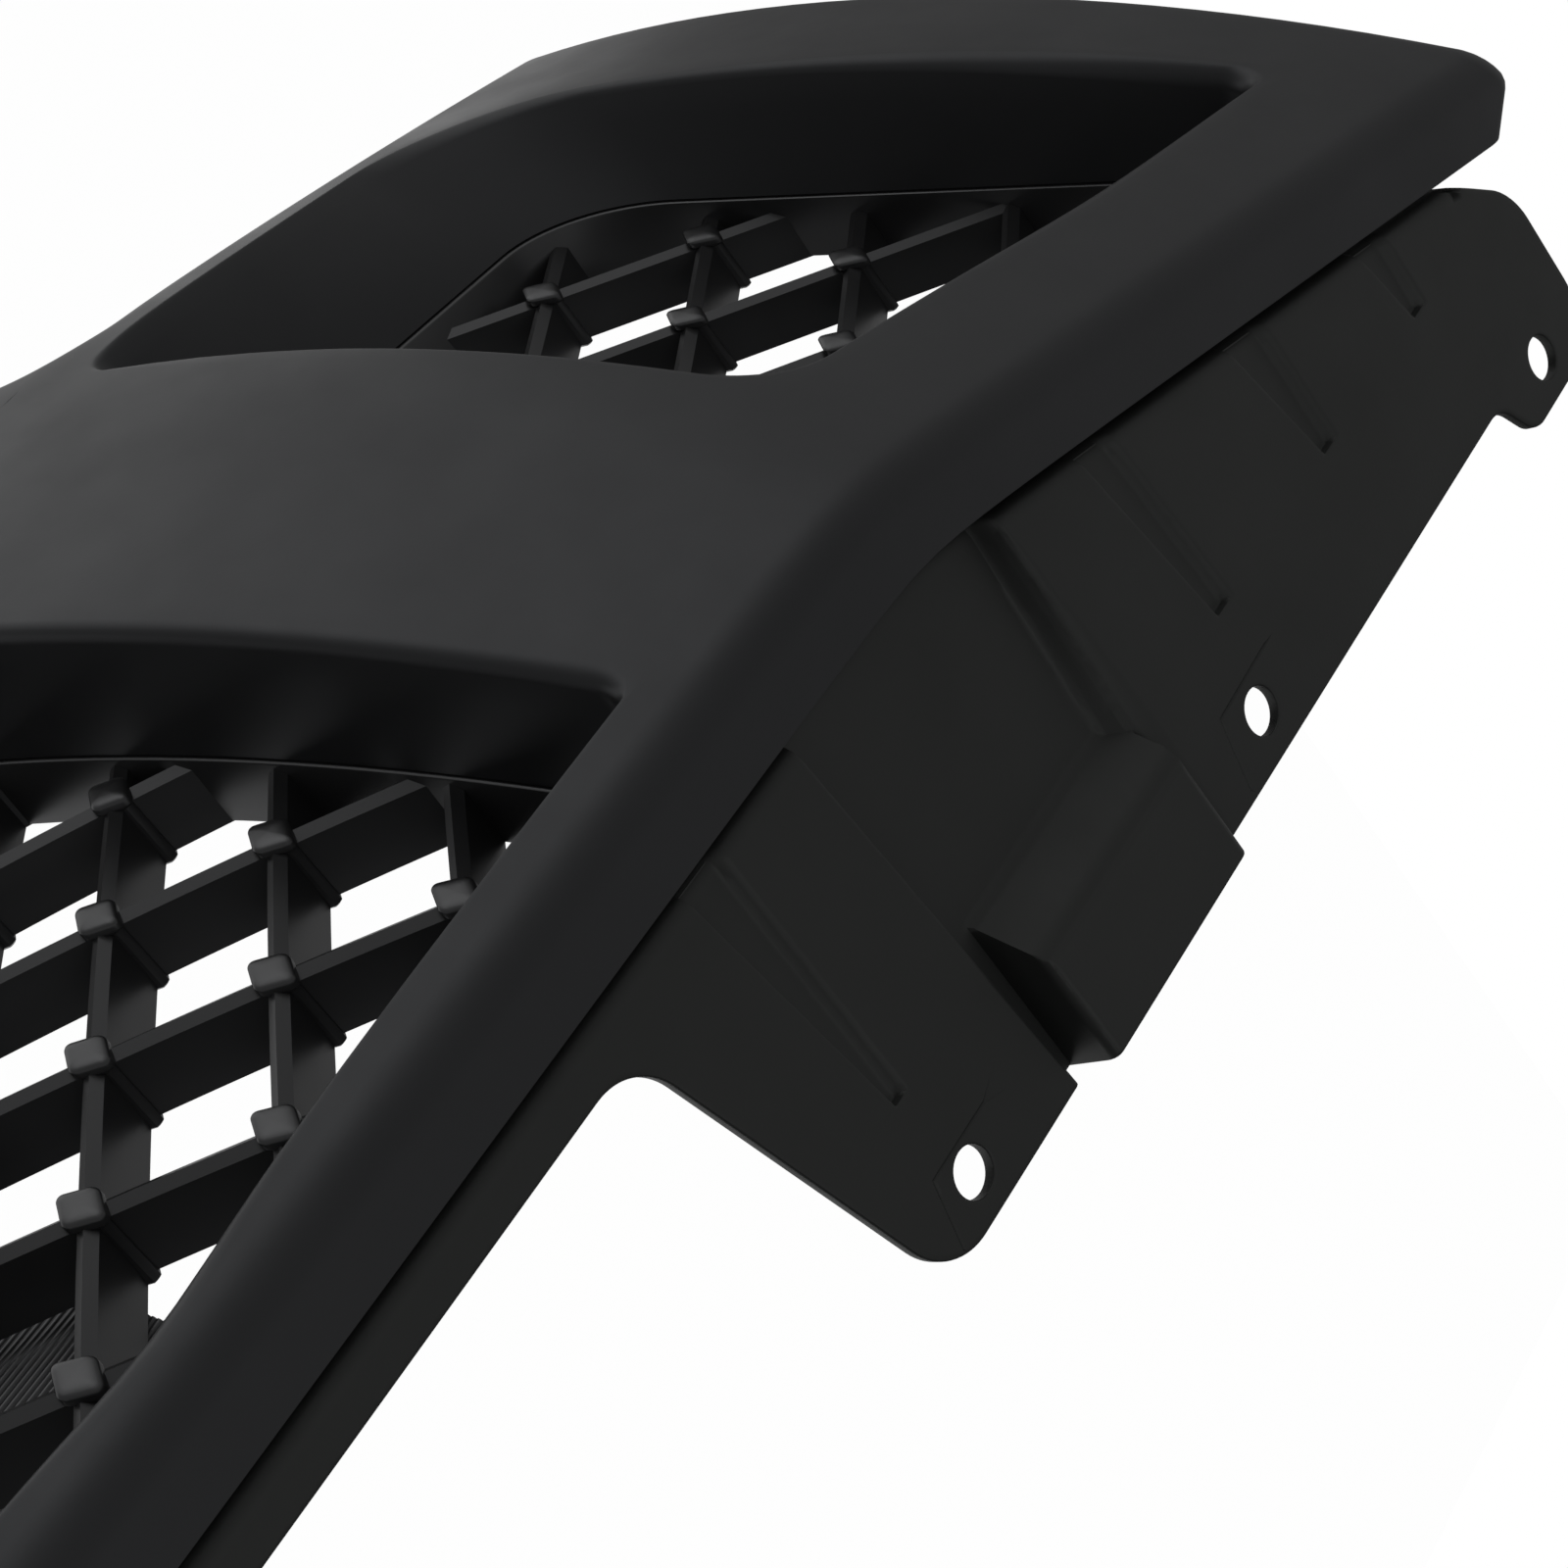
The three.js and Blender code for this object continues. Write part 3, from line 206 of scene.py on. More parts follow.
def centre_boundary(d, _end_d=None):
    strut, _, bottom_end, notch_at, foot = outline_corners(d, d)
    notch = rounded(bottom_end, notch_at, foot, NOTCH_RADIUS + d)
    middle = notch[CS]
    right = [
        sharp(left(strut), strut, STRUT_JOINT),
        sharp(strut, STRUT_JOINT, middle),
        sharp(STRUT_JOINT, middle, foot)[:CS] + notch[CS:],
        rounded(notch_at, foot, left(foot), FOOT_RADIUS - d),
    ]
    return close_loop(with_mirror(right), CENTRE_SIDES)


def wing_boundary(d, end_d=None):
    strut, top_end, bottom_end, notch_at, foot = outline_corners(d, d if end_d is None else end_d)
    notch = rounded(bottom_end, notch_at, foot, NOTCH_RADIUS + d)
    middle = notch[CS]
    return close_loop([
        sharp(STRUT_JOINT, strut, top_end),
        rounded(strut, top_end, bottom_end, TOP_CORNER_RADIUS - d),
        rounded(top_end, bottom_end, notch_at, END_CORNER_RADIUS - d),
        notch[:CS + 1] + sharp(bottom_end, middle, STRUT_JOINT)[CS + 1:],
        sharp(middle, STRUT_JOINT, strut),
    ], WING_SIDES)


def centre_corners(d):
    a, b = pt(CENTRE_TOP_HALF, CENTRE_TOP_Z), pt(CENTRE_BOTTOM_HALF, CENTRE_BOTTOM_Z)
    top, side, bottom = shifted(left(a), a, -d), shifted(a, b, -d), shifted(b, left(b), -d)
    return crossing(top, side), crossing(side, bottom)


def centre_opening(d):
    a, b = centre_corners(d)
    return close_loop(with_mirror([
        rounded(left(a), a, b, CENTRE_TOP_RADIUS + d),
        *(sharp(a, a + (b - a) * share, b) for share in CENTRE_SIDE_STATIONS),
        rounded(a, b, left(b), CENTRE_BOTTOM_RADIUS + d),
    ]), CENTRE_SIDES)


def wing_corners(outline, d):
    corners = [pt(x, z) for x, z, _ in outline]
    sides = [shifted(a, b, -d) for a, b in zip(corners, corners[1:] + corners[:1])]
    return [crossing(sides[i - 1], side) for i, side in enumerate(sides)]


def wing_outline(outline, d):
    a, b, c, e = wing_corners(outline, d)
    radii = [radius + d for _, _, radius in outline]
    return close_loop([
        rounded(e, a, b, radii[0]), rounded(a, b, c, radii[1]), rounded(b, c, e, radii[2]),
        rounded(c, e, a, radii[3]), sharp(e, e + (a - e) * WING_STRUT_STATION, a),
    ], WING_SIDES)


def wing_opening(d):
    return wing_outline(WING_FRONT, d)


def wing_rear(d):
    return wing_outline(WING_REAR, d)


def centre_rear(d):
    return centre_opening(d - CENTRE_DRAFT)


def placed(loop, depth):
    """The outline's points at the Y that depth(x, z) gives."""
    x, z = loop[:, 0], loop[:, 1]
    return np.stack([x, depth(x, z) + 0 * x, z], axis=1)


def level(loop, y):
    return placed(loop, lambda x, z: y)


def deeper(by):
    return lambda x, z: front_y(x, z) + by


# ---------------------------------------------------------------- meshes
WELD = 0.002
CUT_SIDES = 24


class Shell:
    """Points and faces of one piece, in millimetres."""

    def __init__(self):
        self.points, self.faces = [], []

    def add(self, points, faces):
        base = len(self.points)
        self.points.extend(tuple(float(v) for v in p) for p in points)
        self.faces.extend(tuple(base + i for i in face) for face in faces)

    def sheet(self, rows, closed=True, flip=False, ends=False):
        """Quads between neighbouring rows; ends closes the first and last row with a face."""
        n, m = len(rows[0]), len(rows)
        faces = []
        for r in range(m - 1):
            for i in range(n if closed else n - 1):
                j = (i + 1) % n
                quad = (r * n + i, r * n + j, (r + 1) * n + j, (r + 1) * n + i)
                faces.append(quad[::-1] if flip else quad)
        if ends:
            first, last = tuple(range(n))[::-1], tuple((m - 1) * n + i for i in range(n))
            faces.extend([first[::-1], last[::-1]] if flip else [first, last])
        self.add(np.concatenate(rows), faces)


def mesh_of(name, shell):
    """The shell's mesh in metres, welded and turned outwards."""
    mesh = bpy.data.meshes.new(name)
    mesh.from_pydata([tuple(v * MM for v in p) for p in shell.points], [], shell.faces)
    bm = bmesh.new()
    bm.from_mesh(mesh)
    bmesh.ops.remove_doubles(bm, verts=bm.verts, dist=WELD * MM)
    bmesh.ops.dissolve_degenerate(bm, dist=WELD * MM, edges=bm.edges)
    bmesh.ops.recalc_face_normals(bm, faces=bm.faces)
    bm.to_mesh(mesh)
    bm.free()
    return mesh


def dress(obj, angle):
    """Smooth shading but for edges sharper than the angle."""
    mesh = obj.data
    mesh.polygons.foreach_set("use_smooth", [True] * len(mesh.polygons))
    mesh.set_sharp_from_angle(angle=math.radians(angle))
    mesh.update()


def finished(name, shell, material, nodes, angle=32):
    """The piece made from a shell, standing for its nodes."""
    obj = bpy.data.objects.new(name, mesh_of(name, shell))
    bpy.context.scene.collection.objects.link(obj)
    obj.data.materials.append(material)
    dress(obj, angle)
    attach(obj, "root")
    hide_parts(*nodes)
    return obj


def drill(obj, holes, angle):
    """Cuts round holes along Y: (x, z, y0, y1, radius), in millimetres."""
    cutter = Shell()
    for x, z, y0, y1, radius in holes:
        ring = circle(x, z, radius, CUT_SIDES)
        cutter.sheet([level(ring, y) for y in (y0, y1)], ends=True)
    tool = bpy.data.objects.new("cutter", mesh_of("cutter", cutter))
    bpy.context.scene.collection.objects.link(tool)
    modifier = obj.modifiers.new("holes", "BOOLEAN")
    modifier.operation = "DIFFERENCE"
    modifier.object = tool
    modifier.solver = "MANIFOLD"
    bpy.context.view_layer.update()
    graph = bpy.context.evaluated_depsgraph_get()
    cut = bpy.data.meshes.new_from_object(obj.evaluated_get(graph))
    obj.modifiers.clear()
    obj.data = cut
    bpy.data.objects.remove(tool)
    dress(obj, angle)


def circle(x, z, radius, sides):
    t = np.linspace(0, 2 * math.pi, sides, endpoint=False)
    return np.stack([x + radius * np.cos(t), z + radius * np.sin(t)], axis=1)


def mirrored(rows):
    return [row * np.array([-1, 1, 1]) for row in rows]


# ---------------------------------------------------------------- surround
FACE_ROWS, WALL_ROWS, FILLET_STEPS = 10, 4, 8
HIDDEN_FACE_ROWS, HIDDEN_WALL_ROWS = 5, 3
CREASE_STEPS, HIDDEN_CREASE_STEPS = 8, 4
SKIRT_STATIONS = (0.12, 0.4, 0.7, 0.96)  # rows below the crease, share of the skirt's depth
# screw places: share of the way along a side, and for the wing the side's number too
CENTRE_SIDE_SEATS, CENTRE_BOTTOM_SEAT = (0.2, 0.7), 0.28
WING_SIDE_SEATS = ((0, 0.16), (0, 0.8), (2, 0.5), (3, 0.5))
PANEL_SCREW_XS = [x for at in (60, 168, 330, 440) for x in (at, -at)]
BOSS_SIDES, BOSS_CHAMFER = 28, 0.5
ROOT_DEPTH = 1.4  # how far under the visible skin bosses and tongues start
LONGEST_ROOT, SHORTEST_ROOT = 12, 4
IN_FRONT_Y = -400
TONGUE_ROUNDING = 0.5
TONGUE_END = ((0, 1), (0.3, 0.3), (0.75, 0))  # inset, distance from the tip
SLOPE_STEP = 0.01


def onto_front(start, direction):
    """Where lines from start meet the front surface, as distances along direction."""
    t = np.zeros(len(start))
    miss_at = lambda p: p[:, 1] - front_y(p[:, 0], p[:, 2])
    for _ in range(12):
        p = start + direction * t[:, None]
        slope = (miss_at(p + direction * SLOPE_STEP) - miss_at(p)) / SLOPE_STEP
        t = t - miss_at(p) / slope
    return t


def rows_between(a, b, steps):
    return [a + (b - a) * i / steps for i in range(steps + 1)]


def cell_rows(opening, rear_opening, boundary, seat_y):
    """Rows of one opening and its face: visible side, rear rim and hidden side."""
    back = lambda x, z: seat_y(x, z) - CLEARANCE
    rear = placed(rear_opening(0), back)
    wall = placed(opening(0), deeper(RIM_RADIUS))
    edge = placed(boundary(CREASE_RADIUS), deeper(0))
    out = wall - rear
    out /= np.linalg.norm(out, axis=1)[:, None]
    corner = wall + out * onto_front(wall, out)[:, None]
    flat = edge - corner
    across = flat / np.linalg.norm(flat, axis=1)[:, None]
    turn = np.arccos(np.clip((out * across).sum(1), -1, 1))
    reach = (RIM_RADIUS * np.tan(turn / 2))[:, None]
    start, end = corner - out * reach, corner + across * reach
    end[:, 1] = front_y(end[:, 0], end[:, 2])
    weight = np.cos(turn / 2)[:, None]
    lower = rear.copy()
    lower[:, 1] -= EDGE_BREAK
    seen = rows_between(lower, start, WALL_ROWS)
    for i in range(1, FILLET_STEPS):
        t = i / FILLET_STEPS
        w = ((1 - t) ** 2, 2 * t * (1 - t) * weight, t ** 2)
        seen.append((start * w[0] + corner * w[1] + end * w[2]) / (w[0] + w[1] + w[2]))
    for row in rows_between(end, edge, FACE_ROWS):
        row[:, 1] = front_y(row[:, 0], row[:, 2])
        seen.append(row)
    foot = placed(rear_opening(WALL), back)
    foot[:, 1] -= EDGE_BREAK
    bend = placed(opening(WALL), deeper(RIM_RADIUS + 1))
    shoulder = placed(opening(RIM_RADIUS + 1), deeper(WALL))
    inner_edge = placed(boundary(CREASE_RADIUS), deeper(WALL))
    hidden = rows_between(foot, bend, HIDDEN_WALL_ROWS)
    for row in rows_between(shoulder, inner_edge, HIDDEN_FACE_ROWS):
        row[:, 1] = front_y(row[:, 0], row[:, 2]) + WALL
        hidden.append(row)
    rim = [placed(rear_opening(WALL - EDGE_BREAK), back), placed(rear_opening(EDGE_BREAK), back)]
    return seen, [hidden[0], *rim, seen[0]], hidden


def crease_rows(boundary, wall, steps):
    """Rows round the outer crease, a wall's thickness under its visible side."""
    rows, radius = [], CREASE_RADIUS - wall
    for a in np.linspace(0, math.pi / 2, steps + 1):
        inset, depth = wall + radius * (1 - math.sin(a)), wall + radius * (1 - math.cos(a))
        rows.append(placed(boundary(inset), deeper(depth)))
    return rows


def skirt_rows(boundary):
    """Rows of the crease and the skirt behind it: visible side, rim and hidden side."""
    seen = crease_rows(boundary, 0, CREASE_STEPS)
    seen += [placed(boundary(-SKIRT_RISE * share, SKIRT_END_TUCK * share),
                    deeper(CREASE_RADIUS + (SKIRT_DEPTH - CREASE_RADIUS) * share))
             for share in SKIRT_STATIONS]
    before, at, after = seen[CREASE_STEPS - 1:CREASE_STEPS + 2]
    seen[CREASE_STEPS] = at * 0.5 + (before + after) * 0.25
    hidden = crease_rows(boundary, WALL, HIDDEN_CREASE_STEPS)
    last = lambda inset, depth: placed(boundary(inset - SKIRT_RISE, inset + SKIRT_END_TUCK),
                                       deeper(depth))
    hidden.append(last(WALL, SKIRT_DEPTH - EDGE_BREAK))
    rim = [seen[-1], *(last(inset, SKIRT_DEPTH) for inset in (EDGE_BREAK, WALL - EDGE_BREAK)),
           hidden[-1]]
    return seen, rim, hidden


def runs():
    """Cuts of a boundary row to the stretches that lie on the surround's own outline."""
    corner, w, c = 2 * CS, WING_STEPS, CENTRE_STEPS
    notch_at = CS + 2 * corner + c["strut"] + c["joint"]
    wing = lambda row: row[CS:CS + 3 * corner + w["top"] + w["end"] + w["wing"] + 1]
    foot = lambda row: row[notch_at:notch_at + 3 * corner + 2 * c["foot"] + c["bottom"] + 1]
    top = lambda row: np.concatenate([row[-c["top"] - CS:], row[:CS + 1]])
    return wing, foot, top


def surround_skin():
    """The whole skin, and its visible side alone for finding where bosses start."""
    skin, face = Shell(), Shell()
    wing_run, foot_run, top_run = runs()
    centre = cell_rows(centre_opening, centre_rear, centre_boundary, centre_seat_y)
    wing = cell_rows(wing_opening, wing_rear, wing_boundary, wing_seat_y)
    for seen, rim, hidden in (centre, wing, tuple(mirrored(rows) for rows in wing)):
        skin.sheet(seen)
        skin.sheet(rim, flip=True)
        skin.sheet(hidden, flip=True)
        face.sheet(seen)
    centre_skirt = skirt_rows(centre_boundary)
    groups = [[[run(row) for row in rows] for rows in centre_skirt] for run in (top_run, foot_run)]
    wing_skirt = [[wing_run(row) for row in rows] for rows in skirt_rows(wing_boundary)]
    groups += [wing_skirt, [mirrored(rows) for rows in wing_skirt]]
    for group in groups:
        seen, rim, hidden = group
        skin.sheet(seen, closed=False)
        skin.sheet(rim, closed=False)
        skin.sheet(hidden, closed=False, flip=True)
        face.sheet(seen, closed=False)
    return skin, BVHTree.FromPolygons(face.points, face.faces)


def seat_on(a, b, share, seat_y):
    """A screw's place outside the side a-b, with the level of the ear's face."""
    edge, along = a + (b - a) * share, unit(b - a)
    axis = edge + pt(-along[1], along[0]) * BOSS_OFFSET
    face_y = max(seat_y(axis[0], axis[1] + EAR_RADIUS), seat_y(axis[0] + EAR_RADIUS, axis[1]),
                 seat_y(edge[0] + EAR_ROOT, edge[1] + EAR_ROOT))
    return {"edge": edge, "along": along, "axis": axis, "face_y": float(face_y)}


def mirrored_seat(seat):
    return {key: left(value) if key != "face_y" else value for key, value in seat.items()}


def insert_seats():
    a, b = centre_corners(-CENTRE_DRAFT)
    right = [seat_on(a, b, share, centre_seat_y) for share in CENTRE_SIDE_SEATS]
    right.append(seat_on(b, left(b), CENTRE_BOTTOM_SEAT, centre_seat_y))
    corners = wing_corners(WING_REAR, 0)
    wing = [seat_on(corners[side], corners[(side + 1) % 4], share, wing_seat_y)
            for side, share in WING_SIDE_SEATS]
    return right + [mirrored_seat(s) for s in right], wing, [mirrored_seat(s) for s in wing]


CENTRE_SEATS, WING_SEATS, WING_SEATS_MIRRORED = insert_seats()


def boss(shell, skin_at, x, z, end_y):
    """A round boss with a screw hole, rooted just under the visible skin."""
    start = skin_at(circle(x, z, BOSS_RADIUS, BOSS_SIDES), end_y)
    hole, mouth_y = SCREW_RADIUS + CLEARANCE, end_y - BOSS_CHAMFER
    ring = lambda radius, y: level(circle(x, z, radius, BOSS_SIDES), y)
    bottom_y = max(end_y - SCREW_LENGTH - 1, start[:, 1].max() + 1.5)
    shell.sheet([start, ring(BOSS_RADIUS, mouth_y), ring(BOSS_RADIUS - BOSS_CHAMFER, end_y),
                 ring(hole + BOSS_CHAMFER, end_y), ring(hole, mouth_y), ring(hole, bottom_y)],
                ends=True)


def tongue_at(x):
    share = (abs(x) - NOTCH_X) / (END_BOTTOM_X - NOTCH_X)
    wing_z = NOTCH_Z + share * (END_BOTTOM_Z - NOTCH_Z)
    z = (BOTTOM_Z if abs(x) < FOOT_X else wing_z) + TONGUE["rise"]
    return x, z, float(front_y(x, z)) + SKIRT_DEPTH + TONGUE["length"]


def rounded_loop(corners, radius, steps):
    """A closed outline with each of its corners rounded."""
    behind, ahead = corners[-1:] + corners[:-1], corners[1:] + corners[:1]
    return np.array([q for a, p, b in zip(behind, corners, ahead)
                     for q in rounded(a, p, b, radius, steps)])


def rounded_bar(half_x, half_z, radius):
    """Cross-section of a flat bar with rounded edges."""
    signs = ((1, 1), (1, -1), (-1, -1), (-1, 1))
    return rounded_loop([pt(half_x * x, half_z * z) for x, z in signs], radius, 2)


TONGUES = [tongue_at(x) for at in (70, 380) for x in (at, -at)]


def surround(material):
    shell, tree = surround_skin()

    def skin_at(loop, limit):
        """The loop's points just under the visible skin, and well in front of the limit."""
        rows = []
        for x, z in loop:
            hit = tree.ray_cast(Vector((x, IN_FRONT_Y, z)), Vector((0, 1, 0)))[0]
            y = hit.y if hit is not None else limit - LONGEST_ROOT
            rows.append((x, min(y + ROOT_DEPTH, limit - SHORTEST_ROOT), z))
        return np.array(rows)

    for seat in CENTRE_SEATS + WING_SEATS + WING_SEATS_MIRRORED:
        boss(shell, skin_at, *seat["axis"], seat["face_y"] - CLEARANCE)
    room = SWEEP_SLOPE * BOSS_RADIUS
    for x in PANEL_SCREW_XS:
        boss(shell, skin_at, x, PANEL_SCREW_Z, float(lip_front_y(x)) - CLEARANCE - room)
    half_x, half_z = TONGUE["width"] / 2, TONGUE["thickness"] / 2
    for x, z, rear_y in TONGUES:
        section = lambda inset: pt(x, z) + rounded_bar(half_x - inset, half_z - inset,
                                                       TONGUE_ROUNDING)
        rows = [skin_at(section(0), rear_y)]
        rows += [level(section(inset), rear_y - back) for inset, back in TONGUE_END]
        shell.sheet(rows, ends=True)
    return finished("surround_moulding", shell, material, ["surround_frame"])


# ---------------------------------------------------------------- lattice inserts
BAR_SECTION = ((0, 0), (2.2, 1.6), (1.8, None), (-1.8, None), (-2.2, 1.6))  # side, back
BAR_STEP, SHORTEST_BAR = 9, 3
BAR_SINK = 0.3  # how far a blade runs into the insert's wall
KNOB_REACH, KNOB_CORNER = 5.6, 1.9  # half diagonal and corner radius
KNOB_PROFILE = ((0, -2.3), (0.35, -2.24), (0.6, -2.08), (0.8, -1.82), (0.92, -1.5), (0.985, -1.1),
                (1, -0.7), (1, 0.5), (0.94, 0.8))  # share of the outline, height
KNOB_TIP = 0.004  # share of the outline left at the crown
KNOB_INSIDE = 0.2  # share of a knob that has to lie inside the wall
POST_RADIUS = 4.4
WALL_INNER, WALL_OUTER, FLANGE = -0.8, 1.4, 3
EAR_SIDES, EAR_BREAK, EAR_HOLE_BREAK = 48, 0.3, 0.2
SAME, FAR = 1e-6, 1e9


def clip_line(point, direction, loop):
    """Ends of the line's run inside a convex clockwise loop, as distances along it, or None."""
    low, high = -FAR, FAR
    for a, b in zip(loop, np.roll(loop, -1, axis=0)):
        side = b - a
        if np.hypot(*side) < SAME:
            continue
        outward = pt(-side[1], side[0])
        rate, gap = outward @ direction, outward @ (a - point)
        if abs(rate) < SAME * SAME:
            if gap < 0:
                return None
        elif rate > 0:
            high = min(high, gap / rate)
        else:
            low = max(low, gap / rate)
    return (low, high) if high - low > SHORTEST_BAR else None


def bar(shell, point, direction, outline, face_y, depth, rear_y):
    """A blade from wall to wall, its front and rear following the lattice's crown."""
    across = pt(-direction[1], direction[0])
    columns, length = [], 0
    for side, back in BAR_SECTION:
        at = point + across * side
        reach = clip_line(at, direction, outline)
        if reach is None:
            return
        columns.append((at, reach, depth if back is None else back))
        length = max(length, reach[1] - reach[0])
    steps = max(2, math.ceil(length / BAR_STEP))
    rows = []
    for i in range(steps + 1):
        row = []
        for at, (low, high), back in columns:
            x, z = at + direction * (low + (high - low) * i / steps)
            row.append((x, min(face_y(x, z) + back, rear_y), z))
        rows.append(np.array(row))
    shell.sheet(rows, ends=True)


def diamond(x, z, scale=1.0):
    """Rounded diamond with its corners along X and Z."""
    reach = KNOB_REACH + KNOB_CORNER * (math.sqrt(2) - 1)
    tips = [pt(reach, 0), pt(0, -reach), pt(-reach, 0), pt(0, reach)]
    return rounded_loop(tips, KNOB_CORNER, 3) * scale + pt(x, z)


def knob(shell, x, z, face_y, depth, tilt):
    """Pillow-topped diamond on a round post; tilt follows the slope of the blades' fronts."""
    y = float(face_y(x, z))
    lean = lambda loop, height: placed(
        loop, lambda a, b: y + height + tilt[0] * (a - x) + tilt[1] * (b - z))
    angles = np.arctan2(diamond(0, 0)[:, 1], diamond(0, 0)[:, 0])
    around = np.stack([np.cos(angles), np.sin(angles)], axis=1)
    ring = lambda radius: pt(x, z) + radius * around
    tail = depth + POST_TAIL
    rows = [lean(diamond(x, z, max(share, KNOB_TIP)), height) for share, height in KNOB_PROFILE]
    rows += [lean(ring(radius), height) for radius, height in (
        (POST_RADIUS + 0.5, 1.0), (POST_RADIUS, 1.6), (POST_RADIUS, tail - 0.8),
        (POST_RADIUS - 0.8, tail))]
    shell.sheet(rows, ends=True)


def grid_nodes(lattice, outline):
    """Crossings of the diamond lattice over the outline: column, row and place."""
    origin, pitch = (lattice["x"], lattice["z"]), (lattice["pitch_x"], lattice["pitch_z"])
    span = lambda k: range(math.ceil((outline[:, k].min() - origin[k]) / pitch[k]) - 1,
                           math.floor((outline[:, k].max() - origin[k]) / pitch[k]) + 2)
    for m in span(0):
        for n in span(1):
            if (m + n) % 2 == 0:
                yield m, n, pt(origin[0] + m * pitch[0], origin[1] + n * pitch[1])


def inside_by(point, loop):
    """Distance of a point inside a convex clockwise loop; negative outside."""
    side, out = np.roll(loop, -1, axis=0) - loop, point - loop
    length = np.hypot(side[:, 0], side[:, 1])
    keep = length > SAME
    gap = (side[:, 0] * out[:, 1] - side[:, 1] * out[:, 0])[keep] / length[keep]
    return float((-gap).min())


def convex(points):
    """Convex hull, clockwise."""
    pts = sorted(map(tuple, points))
    halves = []
    for run in (pts, pts[::-1]):
        chain = []
        for p in run:
            while len(chain) > 1 and cross(np.subtract(chain[-1], chain[-2]),
                                           np.subtract(p, chain[-1])) <= 0:
                chain.pop()
            chain.append(p)
        halves.extend(chain[:-1])
    return np.array(halves[::-1])


def ear(shell, seat):
    """A flat ear round a screw hole, widening to its root in the insert's wall."""
    centre = seat["axis"]
    root = seat["edge"] + unit(seat["edge"] - centre) * 0.4
    corners = [root + seat["along"] * reach for reach in (-EAR_ROOT, EAR_ROOT)]
    hull = convex([*circle(*centre, EAR_RADIUS, 64), *corners])
    outer = np.array([centre + ray * clip_line(centre, ray, hull)[1]
                      for ray in circle(0, 0, 1, EAR_SIDES)])
    inner = circle(*centre, SCREW_RADIUS + CLEARANCE, EAR_SIDES)

    def ring(loop, inset, back):
        out = loop - centre
        share = (1 - inset / np.hypot(*out.T))[:, None]
        return level(centre + out * share, seat["face_y"] + back)

    rear = EAR_THICKNESS
    rows = [ring(*row) for row in (
        (inner, 0, rear - EAR_HOLE_BREAK), (inner, 0, EAR_HOLE_BREAK), (inner, -EAR_HOLE_BREAK, 0),
        (outer, EAR_BREAK, 0), (outer, 0, EAR_BREAK), (outer, 0, rear - EAR_BREAK),
        (outer, EAR_BREAK, rear), (inner, -EAR_HOLE_BREAK, rear))]
    shell.sheet(rows + rows[:1])


def insert(name, node, outline, seat_y, lattice, seats, material, mirror=False):
    """A lattice of blades and knobs with its wall, flange and screw ears."""
    shell = Shell()
    face_y = lambda x, z: seat_y(x, z) + lattice["set_back"]
    depth, rear_y = lattice["depth"], lattice["rear_y"]
    clip = outline(BAR_SINK)
    inner = outline(WALL_INNER)
    lines = {}
    for m, n, at in grid_nodes(lattice, clip):
        for key in ((1, m - n), (-1, m + n)):
            lines.setdefault(key, at)
        if inside_by(at, inner) > KNOB_REACH * KNOB_INSIDE:
            x, z = at
            slope_x = float(face_y(x + 1, z) - face_y(x, z))
            slope_z = float(face_y(x, z + 0.5) - face_y(x, z - 0.5))
            knob(shell, x, z, face_y, depth, (slope_x, slope_z))
    for (rise, _), at in lines.items():
        direction = unit(pt(lattice["pitch_x"], lattice["pitch_z"] * rise))
        bar(shell, at, direction, clip, face_y, depth, rear_y)
    rear = lattice["set_back"] + depth
    section = ((FLANGE, 0.3), (FLANGE - 0.3, 0), (0, 0), (-0.35, 0.05), (-0.7, 0.3),
               (WALL_INNER, 0.8), (WALL_INNER, rear - 0.3), (WALL_INNER + 0.3, rear),
               (WALL_OUTER - 0.3, rear), (WALL_OUTER, rear - 0.3), (WALL_OUTER, EAR_THICKNESS),
               (FLANGE, EAR_THICKNESS))
    rows = [placed(outline(d), lambda x, z: np.minimum(seat_y(x, z) + back, rear_y))
            for d, back in section]
    shell.sheet(rows + rows[:1])
    for seat in seats:
        ear(shell, seat)
    if mirror:
        shell.points = [(-x, y, z) for x, y, z in shell.points]
    return finished(name, shell, material, [node], angle=28)


# ---------------------------------------------------------------- badge backing plate
PLATE = {"half_x": 27.3, "top": -62, "bottom": -172, "thickness": 2.5, "standoff": 2.6,
         "rib": 1, "rib_pitch": 10, "edge": 0.4}
RIDGE_PITCH, RIDGE_HEIGHT = 1.5, 0.45
# shares of the pitch and of the height
RIDGE_PROFILE = ((0, 0), (0.18, 0.8), (0.34, 1), (0.5, 1), (0.66, 0.8), (0.84, 0))
PLATE_SCREWS = [pt(0, CENTRE_LATTICE["z"] + n * CENTRE_LATTICE["pitch_z"]) for n in (0, -2)]
PLATE_SCREW_RADIUS = 1.3


def plate_front_y(z):
    depth = CENTRE_LATTICE["set_back"] + CENTRE_LATTICE["depth"] + POST_TAIL + PLATE["standoff"]
    at = lambda h: centre_seat_y(0, h) + depth
    share = (z - PLATE["bottom"]) / (PLATE["top"] - PLATE["bottom"])
    return at(PLATE["bottom"]) * (1 - share) + at(PLATE["top"]) * share


